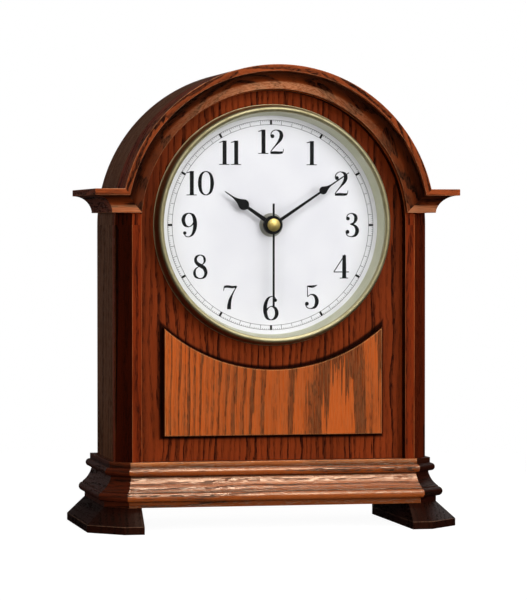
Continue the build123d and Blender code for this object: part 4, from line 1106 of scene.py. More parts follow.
@dataclass
class BaseMoulding:
    """Moulded plinth round the base board, in mitred lengths.

    Attributes:
        torus_root: Projection of the large bead where it springs.
        torus_nose: Projection of its nose.
        cove_sag: How far the cove sinks behind its chord.
        glaze_reach: How far painted shade spreads from a recess.
        shades: Name of each length and the least painted shade all over it, from the back left corner round.
    """

    plinth: float = 7.0
    plinth_height: float = 3.6
    torus_root: float = 8.3
    torus_nose: float = 10.9
    torus_height: float = 5.8
    lip: float = 0.5
    cove_height: float = 9.0
    cove_sag: float = 1.0
    neck: float = 2.4
    neck_height: float = 0.6
    bead_root: float = 3.85
    bead_nose: float = 6.3
    bead_height: float = 4.9
    cap: float = 3.4
    cap_height: float = 3.6
    ease: float = 0.35
    # Painted shade in the recesses and on the plinth's face, and a painted highlight on the cap's face.
    glaze_reach: float = 1.5
    recess_glaze: float = 0.85
    plinth_glaze: float = 0.5
    cap_wear: float = 0.9
    shades: tuple[tuple[str, float], ...] = (("side_left", 0.5), ("corner_left", 0.35), ("front", 0.0),
                                             ("corner_right", 0.85), ("side_right", 0.5))
    board_grain: Grain = Grain((-40.0, 70.0))
    finish: WoodFinish = MOULDING_WOOD
    end_finish: WoodFinish = SHADED_END_WOOD

    def section(self) -> tuple[Array, Array, Array]:
        """Outline of (projection, height) with a plinth, torus, lip, cove, neck, bead and cap.

        Painted shade gathers in the recesses: it falls off evenly with the distance from the nearest one. It
        also darkens the plinth's face, and the cap's face gets a painted highlight.

        Returns:
            The eased outline, its wear with the cap's painted highlight, and its painted shade.
        """
        steps = [self.plinth_height, self.torus_height, self.lip, self.cove_height, self.neck_height,
                 self.bead_height, self.cap_height]
        torus, lip, cove, neck, bead, cap, top = np.cumsum(steps)
        large_nose, small_nose = (self.torus_nose, (torus + lip) / 2), (self.bead_nose, (bead + cap) / 2)
        outline = np.concatenate([
            [(0, top), (0, 0), (self.plinth, 0), (self.plinth, torus)],
            arc_through((self.torus_root, torus), large_nose, (self.torus_root, lip)),
            arc_beside((self.torus_root, cove), (self.neck, neck), -self.cove_sag),
            [(self.neck, bead)],
            arc_through((self.bead_root, bead), small_nose, (self.bead_root, cap)),
            [(self.cap, cap), (self.cap, top)],
        ])
        points, worn = eased(outline, self.ease)
        recesses = np.array([(self.cap, cap), (self.neck, bead), (self.neck, neck), (self.torus_root, lip),
                             (self.torus_root, torus)])
        nearest = np.linalg.norm(points[:, None] - recesses, axis=2).min(axis=1)
        # Painted highlight on the cap's face.
        worn = np.maximum(worn, self.cap_wear * ((points[:, 1] > cap + self.ease) & (points[:, 0] > 0)))
        # Painted shade in the recesses and on the plinth.
        gathered = self.recess_glaze * np.clip(1 - nearest / self.glaze_reach, 0, 1)
        on_plinth = (points[:, 0] < self.plinth + self.ease) & (points[:, 1] < torus + self.ease)
        return points, worn, np.maximum(gathered, self.plinth_glaze * on_plinth)

    def length(self, run: int, grain: Grain, shade: float) -> Surface:
        """One length: the section carried from one corner of the base to the next, with mitred ends.

        Args:
            run: Number of the length, counted from the back left corner.
            grain: How it was sawn.
            shade: Least painted shade all over it.

        Returns:
            The surface.
        """
        outline, worn, glaze = self.section()
        corners = AT.base_corners(outline[:, 0])[run:run + 2].transpose(0, 2, 1)
        loops = at_heights(corners, AT.foot_top + outline[:, 1])
        inner = AT.base_corners(np.zeros(1))[run:run + 2, :, 0]
        way = (inner[1] - inner[0]) / np.linalg.norm(inner[1] - inner[0])
        along = (corners - inner[0]) @ way
        across = np.broadcast_to(outline[:, 1], along.shape)
        depth = np.broadcast_to(outline[:, 0], along.shape)
        return Surface.loft(loops, grain.place(across, depth, along), worn, np.maximum(glaze, shade))

    def build(self) -> None:
        """Makes the five lengths and the board behind them."""
        front, ends = self.finish.material(), self.end_finish.material()
        for run, (name, shade) in enumerate(self.shades):
            grain = Grain((18.0 + 3 * run, -34.0 + 5 * run), 0.015, 510.0 * run)
            surface = self.length(run, grain, shade)
            # The sides and canted corners take the darker copy, which paints their shade.
            material = front if name == "front" else ends
            add_piece(f"plinth_{name}", surface, material, f"base_moulding_{name}")
        loops = risen(AT.base_corners(np.zeros(1))[:, :, 0], AT.foot_top, AT.base_top)
        board = Surface.loft(loops, self.board_grain.crosswise(loops))
        add_piece("plinth_board", board, CASE_WOOD.material(), "base_board")


@dataclass
class CaseBody:
    """Side boards, front stiles, the curved rail and the bent shell of the arch."""

    cant_top: float = low("cornice_front_left")[2]
    rail_segments: int = 5
    span_degrees: float = 1.5
    back_gap: float = 0.2
    ease: float = 0.4
    # Painted shade on the canted corners, darker on the left, and on the faces beside the recessed panel.
    left_cant_glaze: float = 0.86
    right_cant_glaze: float = 0.58
    inner_glaze: float = 0.95
    stile_grain: Grain = Grain((-66.0, -14.0), 0.012, 90.0)
    board_grain: Grain = Grain((-200.0, 40.0), 0.01, 40.0)
    shell_grain: Grain = Grain((160.0, 10.0), 0.01, 900.0)
    rail_end_grain: Grain = Grain((120.0, -20.0), 0.01, 700.0)
    finish: WoodFinish = CASE_WOOD
    side_finish: WoodFinish = SIDE_WOOD

    def upright(self, outline: Array, worn: Array, glaze: Array | float, grain: Grain) -> Surface:
        """Plan outline carried from the base to the springing of the arch."""
        loops = risen(outline, AT.base_top, AT.arch_z)
        return Surface.loft(loops, grain.upright(loops), worn, glaze)

    def shaded(self, outline: Array, side: Side) -> Array:
        """Painted shade on the canted corner and on the face beside the recessed panel.

        On the cant the distances in from the side and the front add up to its width.

        Args:
            outline: Points of (distance from the middle, depth).
            side: The end of the clock that they lie on.

        Returns:
            The painted shade at each point.
        """
        inward, depth = AT.arch_radius - np.abs(outline[:, 0]), outline[:, 1]
        cant_shade = self.left_cant_glaze if side is Side.LEFT else self.right_cant_glaze
        off_cant = np.abs(inward + depth - AT.stile_front - AT.cant)
        off_inner = np.abs(inward + AT.frame_radius - AT.arch_radius)
        inner = (off_inner < self.ease / 4) & (depth > AT.stile_front + self.ease / 4)
        return np.where(off_cant < self.ease / 4, cant_shade, np.where(inner, self.inner_glaze, 0.0))

    def stile(self, side: Side) -> Surface:
        """Stile with its cant and the rebate for the front panel.

        Args:
            side: The end of the clock that it stands at.

        Returns:
            The surface.
        """
        outer, inner, hidden = -AT.arch_radius, -AT.frame_radius, -AT.frame_radius - AT.rebate
        plan = [(outer, AT.stile_front + AT.cant), (outer + AT.cant, AT.stile_front), (inner, AT.stile_front),
                (inner, AT.panel_front), (hidden, AT.panel_front), (hidden, AT.stile_back),
                (outer, AT.stile_back)]
        outline, worn = eased(np.array(plan), self.ease)
        left = self.upright(outline, worn, self.shaded(outline, side), self.stile_grain)
        return left if side is Side.LEFT else left.mirrored()

    def shell_section(self) -> tuple[Array, Array]:
        """Section of sides and shell, as distance from the middle and depth, rebated for the back frame.

        Returns:
            The eased outline and its wear.
        """
        back_radius = high("back_frame")[0] + self.back_gap
        corners = [(AT.arch_radius, AT.stile_back), (AT.side_inner, AT.stile_back),
                   (AT.side_inner, AT.back_front), (back_radius, AT.back_front),
                   (back_radius, AT.case_back), (AT.arch_radius, AT.case_back)]
        return eased(np.array(corners), self.ease)

    def swept(self, outline: Array, worn: Array, glaze: Array | float, start: float, end: float, grain: Grain,
              straight: bool) -> Surface:
        """Section of (radius, depth) carried round the arch between two angles.

        Straight fibres follow the tangent at the middle of the stretch, and bent ones follow the arch.

        Args:
            outline: Section.
            worn: Wear of each section point.
            glaze: Painted shade on each section point.
            start: First angle.
            end: Last angle.
            grain: How the stretch was sawn.
            straight: Whether its fibres are straight, as in a sawn segment.

        Returns:
            The surface.
        """
        steps = max(4, int(np.ceil(np.degrees(end - start) / self.span_degrees)))
        angle = np.linspace(start, end, steps + 1)[:, None]
        radius, depth = outline.T
        loops = about_dial(radius, angle, depth)
        if straight:
            wood = grain.tangent(loops, (start + end) / 2)
        else:
            across, along = np.broadcast_arrays(radius, AT.arch_radius * angle)
            wood = grain.place(across, loops[..., 1], along)
        return Surface.loft(loops, wood, worn, glaze)

    def rail(self) -> Surface:
        """Curved rail of sawn segments; its ends carry the stiles' cant up to the cornice.

        Returns:
            The surface.
        """
        inner, hidden, outer = AT.frame_radius, AT.frame_radius + AT.rebate, AT.arch_radius
        tail = [(inner, AT.stile_front), (inner, AT.panel_front), (hidden, AT.panel_front),
                (hidden, AT.stile_back), (outer, AT.stile_back)]
        cant = [(outer, AT.stile_front + AT.cant), (outer - AT.cant, AT.stile_front)]
        square = eased(np.array([(outer, AT.stile_front)] + tail), self.ease)
        canted = eased(np.array(cant + tail), self.ease)
        foot = np.arcsin((self.cant_top - AT.arch_z) / AT.arch_radius)
        cuts = np.linspace(foot, np.pi - foot, self.rail_segments + 1)
        parts = []
        for side, start in ((Side.RIGHT, 0.0), (Side.LEFT, np.pi - foot)):
            dark = self.shaded(canted[0], side)
            parts.append(self.swept(*canted, dark, start, start + foot, self.rail_end_grain, False))
        square_dark = self.shaded(square[0], Side.LEFT)
        for number, (start, end) in enumerate(zip(cuts[:-1], cuts[1:])):
            sawn = Grain((120.0 + 4 * number, -20.0), 0.02, 150.0 * number)
            parts.append(self.swept(*square, square_dark, start, end, sawn, True))
        return total(parts)

    def build(self) -> None:
        """Makes the boards, stiles, rail and shell."""
        material, side_material = self.finish.material(), self.side_finish.material()
        section, worn = self.shell_section()
        left_board = self.upright(section * [-1, 1], worn, 0.0, self.board_grain)
        for side, board in both_sides(left_board):
            pieces = [("stile", self.stile(side), material), ("side_board", board, side_material)]
            for name, surface, wood in pieces:
                node = f"{name}_{side.word}"
                add_piece(f"case_{node}", surface, wood, node)
        add_piece("case_arch_rail", self.rail(), material, "arch_rail")
        shell = self.swept(section, worn, 0.0, 0.0, np.pi, self.shell_grain, False)
        add_piece("case_arch_shell", shell, side_material, "arch_shell")


@dataclass
class Hood:
    """Hood moulding: one section that runs round the arch and on along the front and sides as the cornice.

    Attributes:
        glaze_steps: Painted shade at distances down from the top edge.
        lip_wear: Painted highlight on the lip at degrees from the top of the arch.
        turn_glaze: Painted shade over the section at degrees from the right end of the arch.
        fillet_share: Share of that painted shade that the fillet takes.
        cornice_wear: Painted highlight on the cornice's lip.
        side_glaze: Least and most painted shade on the sides.
    """

    width: float = 14.75
    projection: float = 16.0
    fillet: float = 4.0
    quirk: float = 0.7
    cove_sag: float = 2.7
    foot: float = 1.2
    foot_projection: float = 3.6
    top: float = high("cornice_front_left")[2]
    segments: int = 5
    segment_steps: int = 24
    back_steps: int = 6
    ease: float = 0.4
    glaze_steps: Steps = ((4.0, 0.95), (6.5, 0.74), (8.4, 0.64), (10.4, 0.0))
    lip_wear: Steps = ((10.0, 1.0), (40.0, 0.45), (62.0, 0.1))
    turn_glaze: Steps = ((20.0, 0.55), (30.0, 0.4), (62.0, 0.34), (82.0, 0.0), (98.0, 0.0), (118.0, 0.34),
                         (138.0, 0.45), (150.0, 0.7), (165.0, 0.76))
    fillet_share: float = 0.42
    cornice_wear: float = 0.7
    side_glaze: tuple[float, float] = (0.3, 0.5)
    front_grain: Grain = Grain((190.0, -80.0), 0.02, 330.0)
    side_grain: Grain = Grain((190.0, -150.0), 0.02, 330.0)
    finish: WoodFinish = HOOD_WOOD

    def section(self, back: Array | None = None) -> tuple[Array, Array, Array, Array]:
        """Outline of (distance down from the top edge, projection), with a fillet, quirk, cove and foot.

        Painted shade lies in the cove under the fillet and thins out towards the foot, whose lip is marked
        for a painted highlight.

        Args:
            back: Points that close the outline behind, from the foot up to the top edge; flat where none.

        Returns:
            The eased outline, the wear of its edges, its painted shade, and 1 on the lip and 0 elsewhere.
        """
        cove_top = (self.fillet, self.projection - self.quirk)
        cove_end = (self.width - self.foot, self.foot_projection)
        outline = np.concatenate([
            [(0, self.projection), (self.fillet, self.projection)],
            arc_beside(cove_top, cove_end, self.cove_sag),
            [(self.width, self.foot_projection)],
            [(self.width, 0.0), (0.0, 0.0)] if back is None else back,
        ])
        points, worn = eased(outline, self.ease)
        down, out = points.T
        # Painted shade under the fillet, left off the fillet's lower rounding.
        glaze = np.interp(down, *np.transpose(self.glaze_steps)) * (down >= self.fillet + self.ease / 2)
        lip = (down > self.glaze_steps[-1][0]) & (out >= self.foot_projection - self.ease)
        return points, worn, glaze, lip

    def mitre_rise(self, down: Array) -> Array:
        """Height of the cornice line above the arch's centre, for each distance down from the top edge."""
        return self.top - down - AT.arch_z

    def arch(self) -> Surface:
        """Arch of sawn segments: the section turned about the dial's axis between the two springing mitres.

        At a distance d from the edge the radius is R - d, and the mitre lies where that circle meets the
        cornice line of the same d, so the end angle is the arcsine of their ratio. The lip's painted
        highlight changes with the angle from the top, and painted shade with the angle from the right.

        Returns:
            The surface.
        """
        outline, worn, glaze, lip = self.section()
        down, out = outline.T
        radius = AT.arch_radius - down
        end = np.arcsin(self.mitre_rise(down) / radius)
        taken = np.where(down < self.fillet + self.ease / 2, self.fillet_share, 1.0)
        shares = np.linspace(0, 1, self.segments + 1)
        parts = []
        for number, (first, last) in enumerate(zip(shares[:-1], shares[1:])):
            share = np.linspace(first, last, self.segment_steps + 1)[:, None]
            angle = end + share * (np.pi - 2 * end)
            loops = about_dial(radius, angle, AT.stile_front - out)
            sawn = Grain((78.0 + 5 * (number % 3), -52.0), 0.22, 260.0 * number)
            grain = sawn.tangent(loops, np.pi * (first + last) / 2)
            turn = np.degrees(angle)
            # Painted highlight on the lip, strongest near the top, and painted shade that changes round the
            # arch.
            wear_and_highlight = np.maximum(worn, lip * np.interp(np.abs(turn - 90), *np.transpose(self.lip_wear)))
            dark = 1 - (1 - glaze) * (1 - taken * np.interp(turn, *np.transpose(self.turn_glaze)))
            parts.append(Surface.loft(loops, grain, wear_and_highlight, dark))
        return total(parts)

    def front(self) -> Surface:
        """Left front cornice, from the springing mitre out to the square corner.

        Returns:
            The surface.
        """
        outline, worn, glaze, lip = self.section()
        down, out = outline.T
        radius = AT.arch_radius - down
        ends = [-np.sqrt(radius ** 2 - self.mitre_rise(down) ** 2), -AT.arch_radius - out]
        loops = np.stack([np.stack([x, AT.stile_front - out, self.top - down], -1) for x in ends])
        # Painted highlight on the lip.
        wear_and_highlight = np.maximum(worn, self.cornice_wear * lip)
        return Surface.loft(loops, self.front_grain.crosswise(loops), wear_and_highlight, glaze)

    def side(self) -> Surface:
        """Left side cornice, hollowed behind to sit on the arch.

        Returns:
            The surface.
        """
        down = np.linspace(self.width, 0, self.back_steps + 1)
        behind = AT.arch_radius - np.sqrt(AT.arch_radius ** 2 - self.mitre_rise(down) ** 2)
        outline, worn, glaze, _ = self.section(np.stack([down, -behind], -1))
        down, out = outline.T
        ends = [AT.stile_front - np.maximum(out, 0), np.full_like(out, AT.case_back)]
        loops = np.stack([np.stack([-AT.arch_radius - out, y, self.top - down], -1) for y in ends])
        grain = self.side_grain.front_to_back(loops)
        # Painted shade on the sides, kept between a least and a most share.
        return Surface.loft(loops, grain, worn, np.clip(glaze, *self.side_glaze))

    def build(self) -> None:
        """Makes the arch and the four lengths of cornice."""
        material = self.finish.material()
        add_piece("hood_arch", self.arch(), material, "arch_moulding")
        for name, left in (("front", self.front()), ("side", self.side())):
            for side, surface in both_sides(left):
                node = f"cornice_{name}_{side.word}"
                add_piece(f"hood_{node}", surface, material, node)


@dataclass
class FrontPanels:
    """Recessed panel with the hole for the dial, and the raised panel on it.

    Attributes:
        hole_cover: How far the bezel reaches over the edge of the hole.
        edge_steps: Inset and height of the raised edge's middle, in shares of its chamfer.
        edge_wear: Worn colour on each loop: a painted highlight along the chamfer, a little on the front.
        edge_glaze: Painted shade on each loop, near black on the panel's sides.
    """

    hole_cover: float = 3.3
    raised_half_width: float = high("raised_panel")[0]
    raised_bottom: float = low("raised_panel")[2]
    raised_front: float = low("raised_panel")[1]
    chamfer: float = 1.0
    edge_steps: tuple[float, float] = (0.5, 0.3)
    edge_wear: Levels = (0.0, 0.0, 1.0, 0.2)
    edge_glaze: Levels = (0.97, 0.97, 0.1, 0.0)
    hollow_steps: int = 64
    recessed_grain: Grain = Grain((-150.0, 30.0), 0.004, 60.0)
    raised_grain: Grain = Grain((42.0, -25.5), 0.0)

    def recessed(self) -> Surface:
        """Board with an arched outline; each outline point is joined to the hole's point at the same angle.

        Returns:
            The surface.
        """
        hole = high("bezel")[0] - self.hole_cover
        outer = arched_outline(high("front_panel")[0], AT.base_top)
        angle = np.arctan2(outer[:, 1] - AT.arch_z, outer[:, 0])
        inner = hole * np.stack([np.cos(angle), np.sin(angle)], -1) + [0.0, AT.arch_z]
        loops = np.stack([in_depth(outer, AT.panel_front), in_depth(inner, AT.panel_front),
                          in_depth(inner, AT.panel_back), in_depth(outer, AT.panel_back)])
        return Surface.loft(loops, self.recessed_grain.upright(loops), ring=True)

    def raised_outline(self, inset: float) -> Array:
        """Outline with a hollow top: z = c - sqrt(R^2 - x^2) about a centre c above.

        Args:
            inset: How far the outline is drawn in all round.

        Returns:
            Points of shape (n, 2).
        """
        half = self.raised_half_width - inset
        radius = AT.hollow_radius + inset
        x = np.linspace(half, -half, self.hollow_steps + 1)
        top = AT.hollow + AT.hollow_radius - np.sqrt(radius ** 2 - x ** 2)
        foot = [(-half, self.raised_bottom + inset), (half, self.raised_bottom + inset)]
        return np.concatenate([foot, np.stack([x, top], -1)])

    def raised(self) -> Surface:
        """Raised panel with chamfered front edges.

        Returns:
            The surface.
        """
        inward, rise = self.chamfer * np.array(self.edge_steps)
        steps = [(0.0, AT.panel_front), (0.0, self.raised_front + self.chamfer),
                 (inward, self.raised_front + rise), (self.chamfer, self.raised_front)]
        loops = np.stack([in_depth(self.raised_outline(inset), depth) for inset, depth in steps])
        # Painted highlight along the chamfer and painted shade on the panel's sides.
        worn, dark = np.array([self.edge_wear, self.edge_glaze])[:, :, None]
        return Surface.loft(loops, self.raised_grain.upright(loops), worn, dark)

    def build(self) -> None:
        """Makes both panels."""
        add_piece("panel_recessed", self.recessed(), PANEL_WOOD.material(), "front_panel")
        add_piece("panel_raised", self.raised(), RAISED_WOOD.material(), "raised_panel")


@dataclass
class Back:
    """Back frame and the arched door in it."""

    chamfer: float = 0.7
    door_gap: float = 0.8
    frame_wear: Levels = (0.0, 0.0, 0.5, 0.5, 0.0)
    door_wear: Levels = (0.0, 0.4, 0.4)
    frame_grain: Grain = Grain((30.0, -90.0), 0.02, 80.0)
    door_grain: Grain = Grain((-25.0, -100.0), 0.03, 640.0)
    finish: WoodFinish = BACK_WOOD

    def frame(self) -> Surface:
        """Board with an arched opening, its two outlines joined point to point.

        Returns:
            The surface.
        """
        outer = (high("back_frame")[0], AT.base_top)
        inner = (high("back_door")[0] + self.door_gap, low("back_door")[2] - self.door_gap)
        steps = [(outer, 0.0, AT.back_front), (inner, 0.0, AT.back_front),
                 (inner, 0.0, AT.case_back - self.chamfer), (inner, -self.chamfer, AT.case_back),
                 (outer, 0.0, AT.case_back)]
        loops = np.stack([in_depth(arched_outline(*size, inset), depth) for size, inset, depth in steps])
        worn = np.array(self.frame_wear)[:, None]
        return Surface.loft(loops, self.frame_grain.upright(loops), worn, ring=True)

    def door(self) -> Surface:
        """Arched board with chamfered outer edges.

        Returns:
            The surface.
        """
        size = (high("back_door")[0], low("back_door")[2])
        steps = [(0.0, AT.back_front), (0.0, AT.case_back - self.chamfer), (self.chamfer, AT.case_back)]
        loops = np.stack([in_depth(arched_outline(*size, inset), depth) for inset, depth in steps])
        return Surface.loft(loops, self.door_grain.upright(loops), np.array(self.door_wear)[:, None])

    def build(self) -> None:
        """Makes the frame and the door."""
        material = self.finish.material()
        add_piece("back_board_frame", self.frame(), material, "back_frame")
        add_piece("back_board_door", self.door(), material, "back_door", body=Body.DOOR)


# Dial group


@dataclass
class DialGlass:
    """Brass bezel and the conical reflector ring behind its lens."""

    bore: float = 72.0
    flange: float = 76.0
    flange_thickness: float = 0.9
    foot: float = 75.5
    shoulder: float = 74.3
    lip: float = 70.9
    rim: float = 1.6
    rim_steps: int = 12
    wall_shares: tuple[float, float] = (0.15, 0.85)
    ease: float = 0.3
    wall_glaze: float = 0.8
    cone_inner: float = 69.0
    cone_thickness: float = 0.7

    def bezel(self) -> Surface:
        """Flat flange, tapered wall, rounded rim and a lip over the lens, turned about the dial's axis.

        Returns:
            The surface.
        """
        front = low("bezel")[1]
        lens_front = low("lens")[1]
        flange_front = AT.panel_front - self.flange_thickness
        crest = ((self.shoulder + self.lip) / 2, front)
        rim_end = front + self.rim
        rim = arc_through((self.shoulder, rim_end), crest, (self.lip, rim_end), self.rim_steps)
        behind = [(self.lip, lens_front), (self.bore, lens_front), (self.bore, AT.panel_front),
                  (self.flange, AT.panel_front), (self.flange, flange_front), (self.foot, flange_front)]
        outline = np.concatenate([rim, behind])
        share = np.array(self.wall_shares)[:, None]
        wall = (1 - share) * outline[-1] + share * outline[0]
        section = eased(np.concatenate([outline, wall]), self.ease)[0]
        # The bezel's wall takes a painted reflection of the dark wood round it.
        on_wall = (section[:, 0] > self.shoulder) & (section[:, 1] < flange_front)
        return turned(section, self.wall_glaze * (on_wall & (section[:, 1] > rim_end)))

    def reflector(self) -> Surface:
        """Thin cone from the lens in to the dial.

        Returns:
            The surface.
        """
        outer, inner, lens_back = high("reflector_ring")[0], self.cone_inner, high("lens")[1]
        section = [(outer, lens_back), (inner + self.cone_thickness, AT.dial_front), (inner, AT.dial_front),
                   (outer - self.cone_thickness, lens_back)]
        return turned(np.array(section))

    def build(self) -> None:
        """Makes the bezel and the reflector and dresses the cap on the hands."""
        add_piece("bezel_ring", self.bezel(), BEZEL_BRASS.material(), "bezel")
        add_piece("reflector_cone", self.reflector(), REFLECTOR.material(), "reflector_ring")
        dress("hub_cap", CAP_BRASS.material())


@dataclass(frozen=True)
class Figure:
    """One printed figure, in thousandths of its height.

    Attributes:
        width: How much room it takes.
        strokes: Pen strokes, each a row of (across, up, width) knots.
        closed: Whether the strokes close on themselves.
        balls: Round ends, as (across, up, radius).
    """

    width: int
    strokes: tuple[tuple[Knot, ...], ...]
    closed: bool = False
    balls: tuple[Knot, ...] = ()


SIX = ((530, 860, 30), (450, 965, 34), (320, 985, 34), (170, 880, 85), (75, 620, 130), (72, 340, 135),
       (150, 100, 100), (320, 16, 34), (490, 100, 100), (560, 290, 130), (490, 500, 100), (330, 575, 34),
       (190, 500, 40), (120, 380, 50))
SIX_BALL = (500, 830, 72)
SIX_WIDTH = 630
FIGURE_HEIGHT = 1000


def half_turned(knot: Knot) -> Knot:
    """Knot of the six turned upside down, as in a nine."""
    across, up, width = knot
    return SIX_WIDTH - across, FIGURE_HEIGHT - up, width


FIGURES = {
    "0": Figure(660, (
        ((330, 984, 34), (135, 850, 90), (70, 500, 130), (135, 150, 90), (330, 16, 34), (525, 150, 90),
         (590, 500, 130), (525, 850, 90)),), True),
    "1": Figure(430, (
        ((225, 0, 270), (225, 30, 180), (225, 100, 140), (225, 600, 140), (225, 1000, 140)),
        ((0, 14, 28), (430, 14, 28)),
        ((0, 925, 26), (110, 950, 36), (200, 985, 30)))),
    "2": Figure(600, (
        ((45, 740, 40), (70, 870, 34), (170, 965, 34), (300, 985, 36), (450, 910, 100), (495, 755, 135),
         (430, 570, 110), (270, 370, 55), (100, 170, 36), (30, 60, 30)),
        ((30, 35, 70), (200, 50, 100), (420, 45, 90), (550, 60, 75)),
        ((550, 50, 30), (575, 120, 26), (585, 210, 22))), balls=((115, 730, 82),)),
    "3": Figure(600, (
        ((60, 800, 34), (130, 935, 34), (280, 985, 36), (430, 905, 100), (465, 765, 125), (390, 600, 75),
         (220, 535, 30)),
        ((220, 535, 30), (420, 470, 85), (520, 285, 138), (450, 85, 100), (270, 16, 36), (110, 60, 34),
         (40, 190, 34))), balls=((125, 770, 78), (105, 215, 82),)),
    "4": Figure(660, (
        ((460, 0, 270), (460, 30, 180), (460, 100, 140), (460, 500, 140), (460, 970, 120)),
        ((490, 990, 35), (20, 285, 35)),
        ((10, 270, 34), (660, 270, 34)),
        ((270, 14, 28), (630, 14, 28)))),
    "5": Figure(600, (
        ((120, 950, 30), (125, 700, 30), (130, 500, 30)),
        ((115, 955, 30), (200, 935, 70), (340, 930, 85), (470, 965, 50), (530, 1000, 20)),
        ((130, 510, 30), (280, 600, 36), (450, 530, 100), (525, 315, 138), (450, 90, 100), (270, 16, 36),
         (110, 60, 34), (35, 190, 34))), balls=((100, 215, 82),)),
    "6": Figure(SIX_WIDTH, (SIX,), balls=(SIX_BALL,)),
    "7": Figure(620, (
        ((30, 770, 24), (50, 880, 34), (75, 970, 40)),
        ((60, 930, 75), (200, 945, 90), (400, 920, 85), (580, 945, 60)),
        ((585, 950, 40), (440, 700, 45), (310, 400, 100), (265, 150, 135), (260, 0, 140)))),
    "8": Figure(620, (
        ((310, 984, 34), (165, 920, 80), (115, 775, 105), (190, 635, 120), (330, 545, 130), (480, 440, 130),
         (550, 250, 115), (480, 75, 80), (310, 16, 36), (130, 85, 80), (70, 250, 95), (130, 420, 50),
         (310, 540, 30), (460, 650, 50), (500, 785, 85), (450, 925, 65)),), True),
    "9": Figure(SIX_WIDTH, (tuple(half_turned(knot) for knot in SIX),), balls=(half_turned(SIX_BALL),)),
}


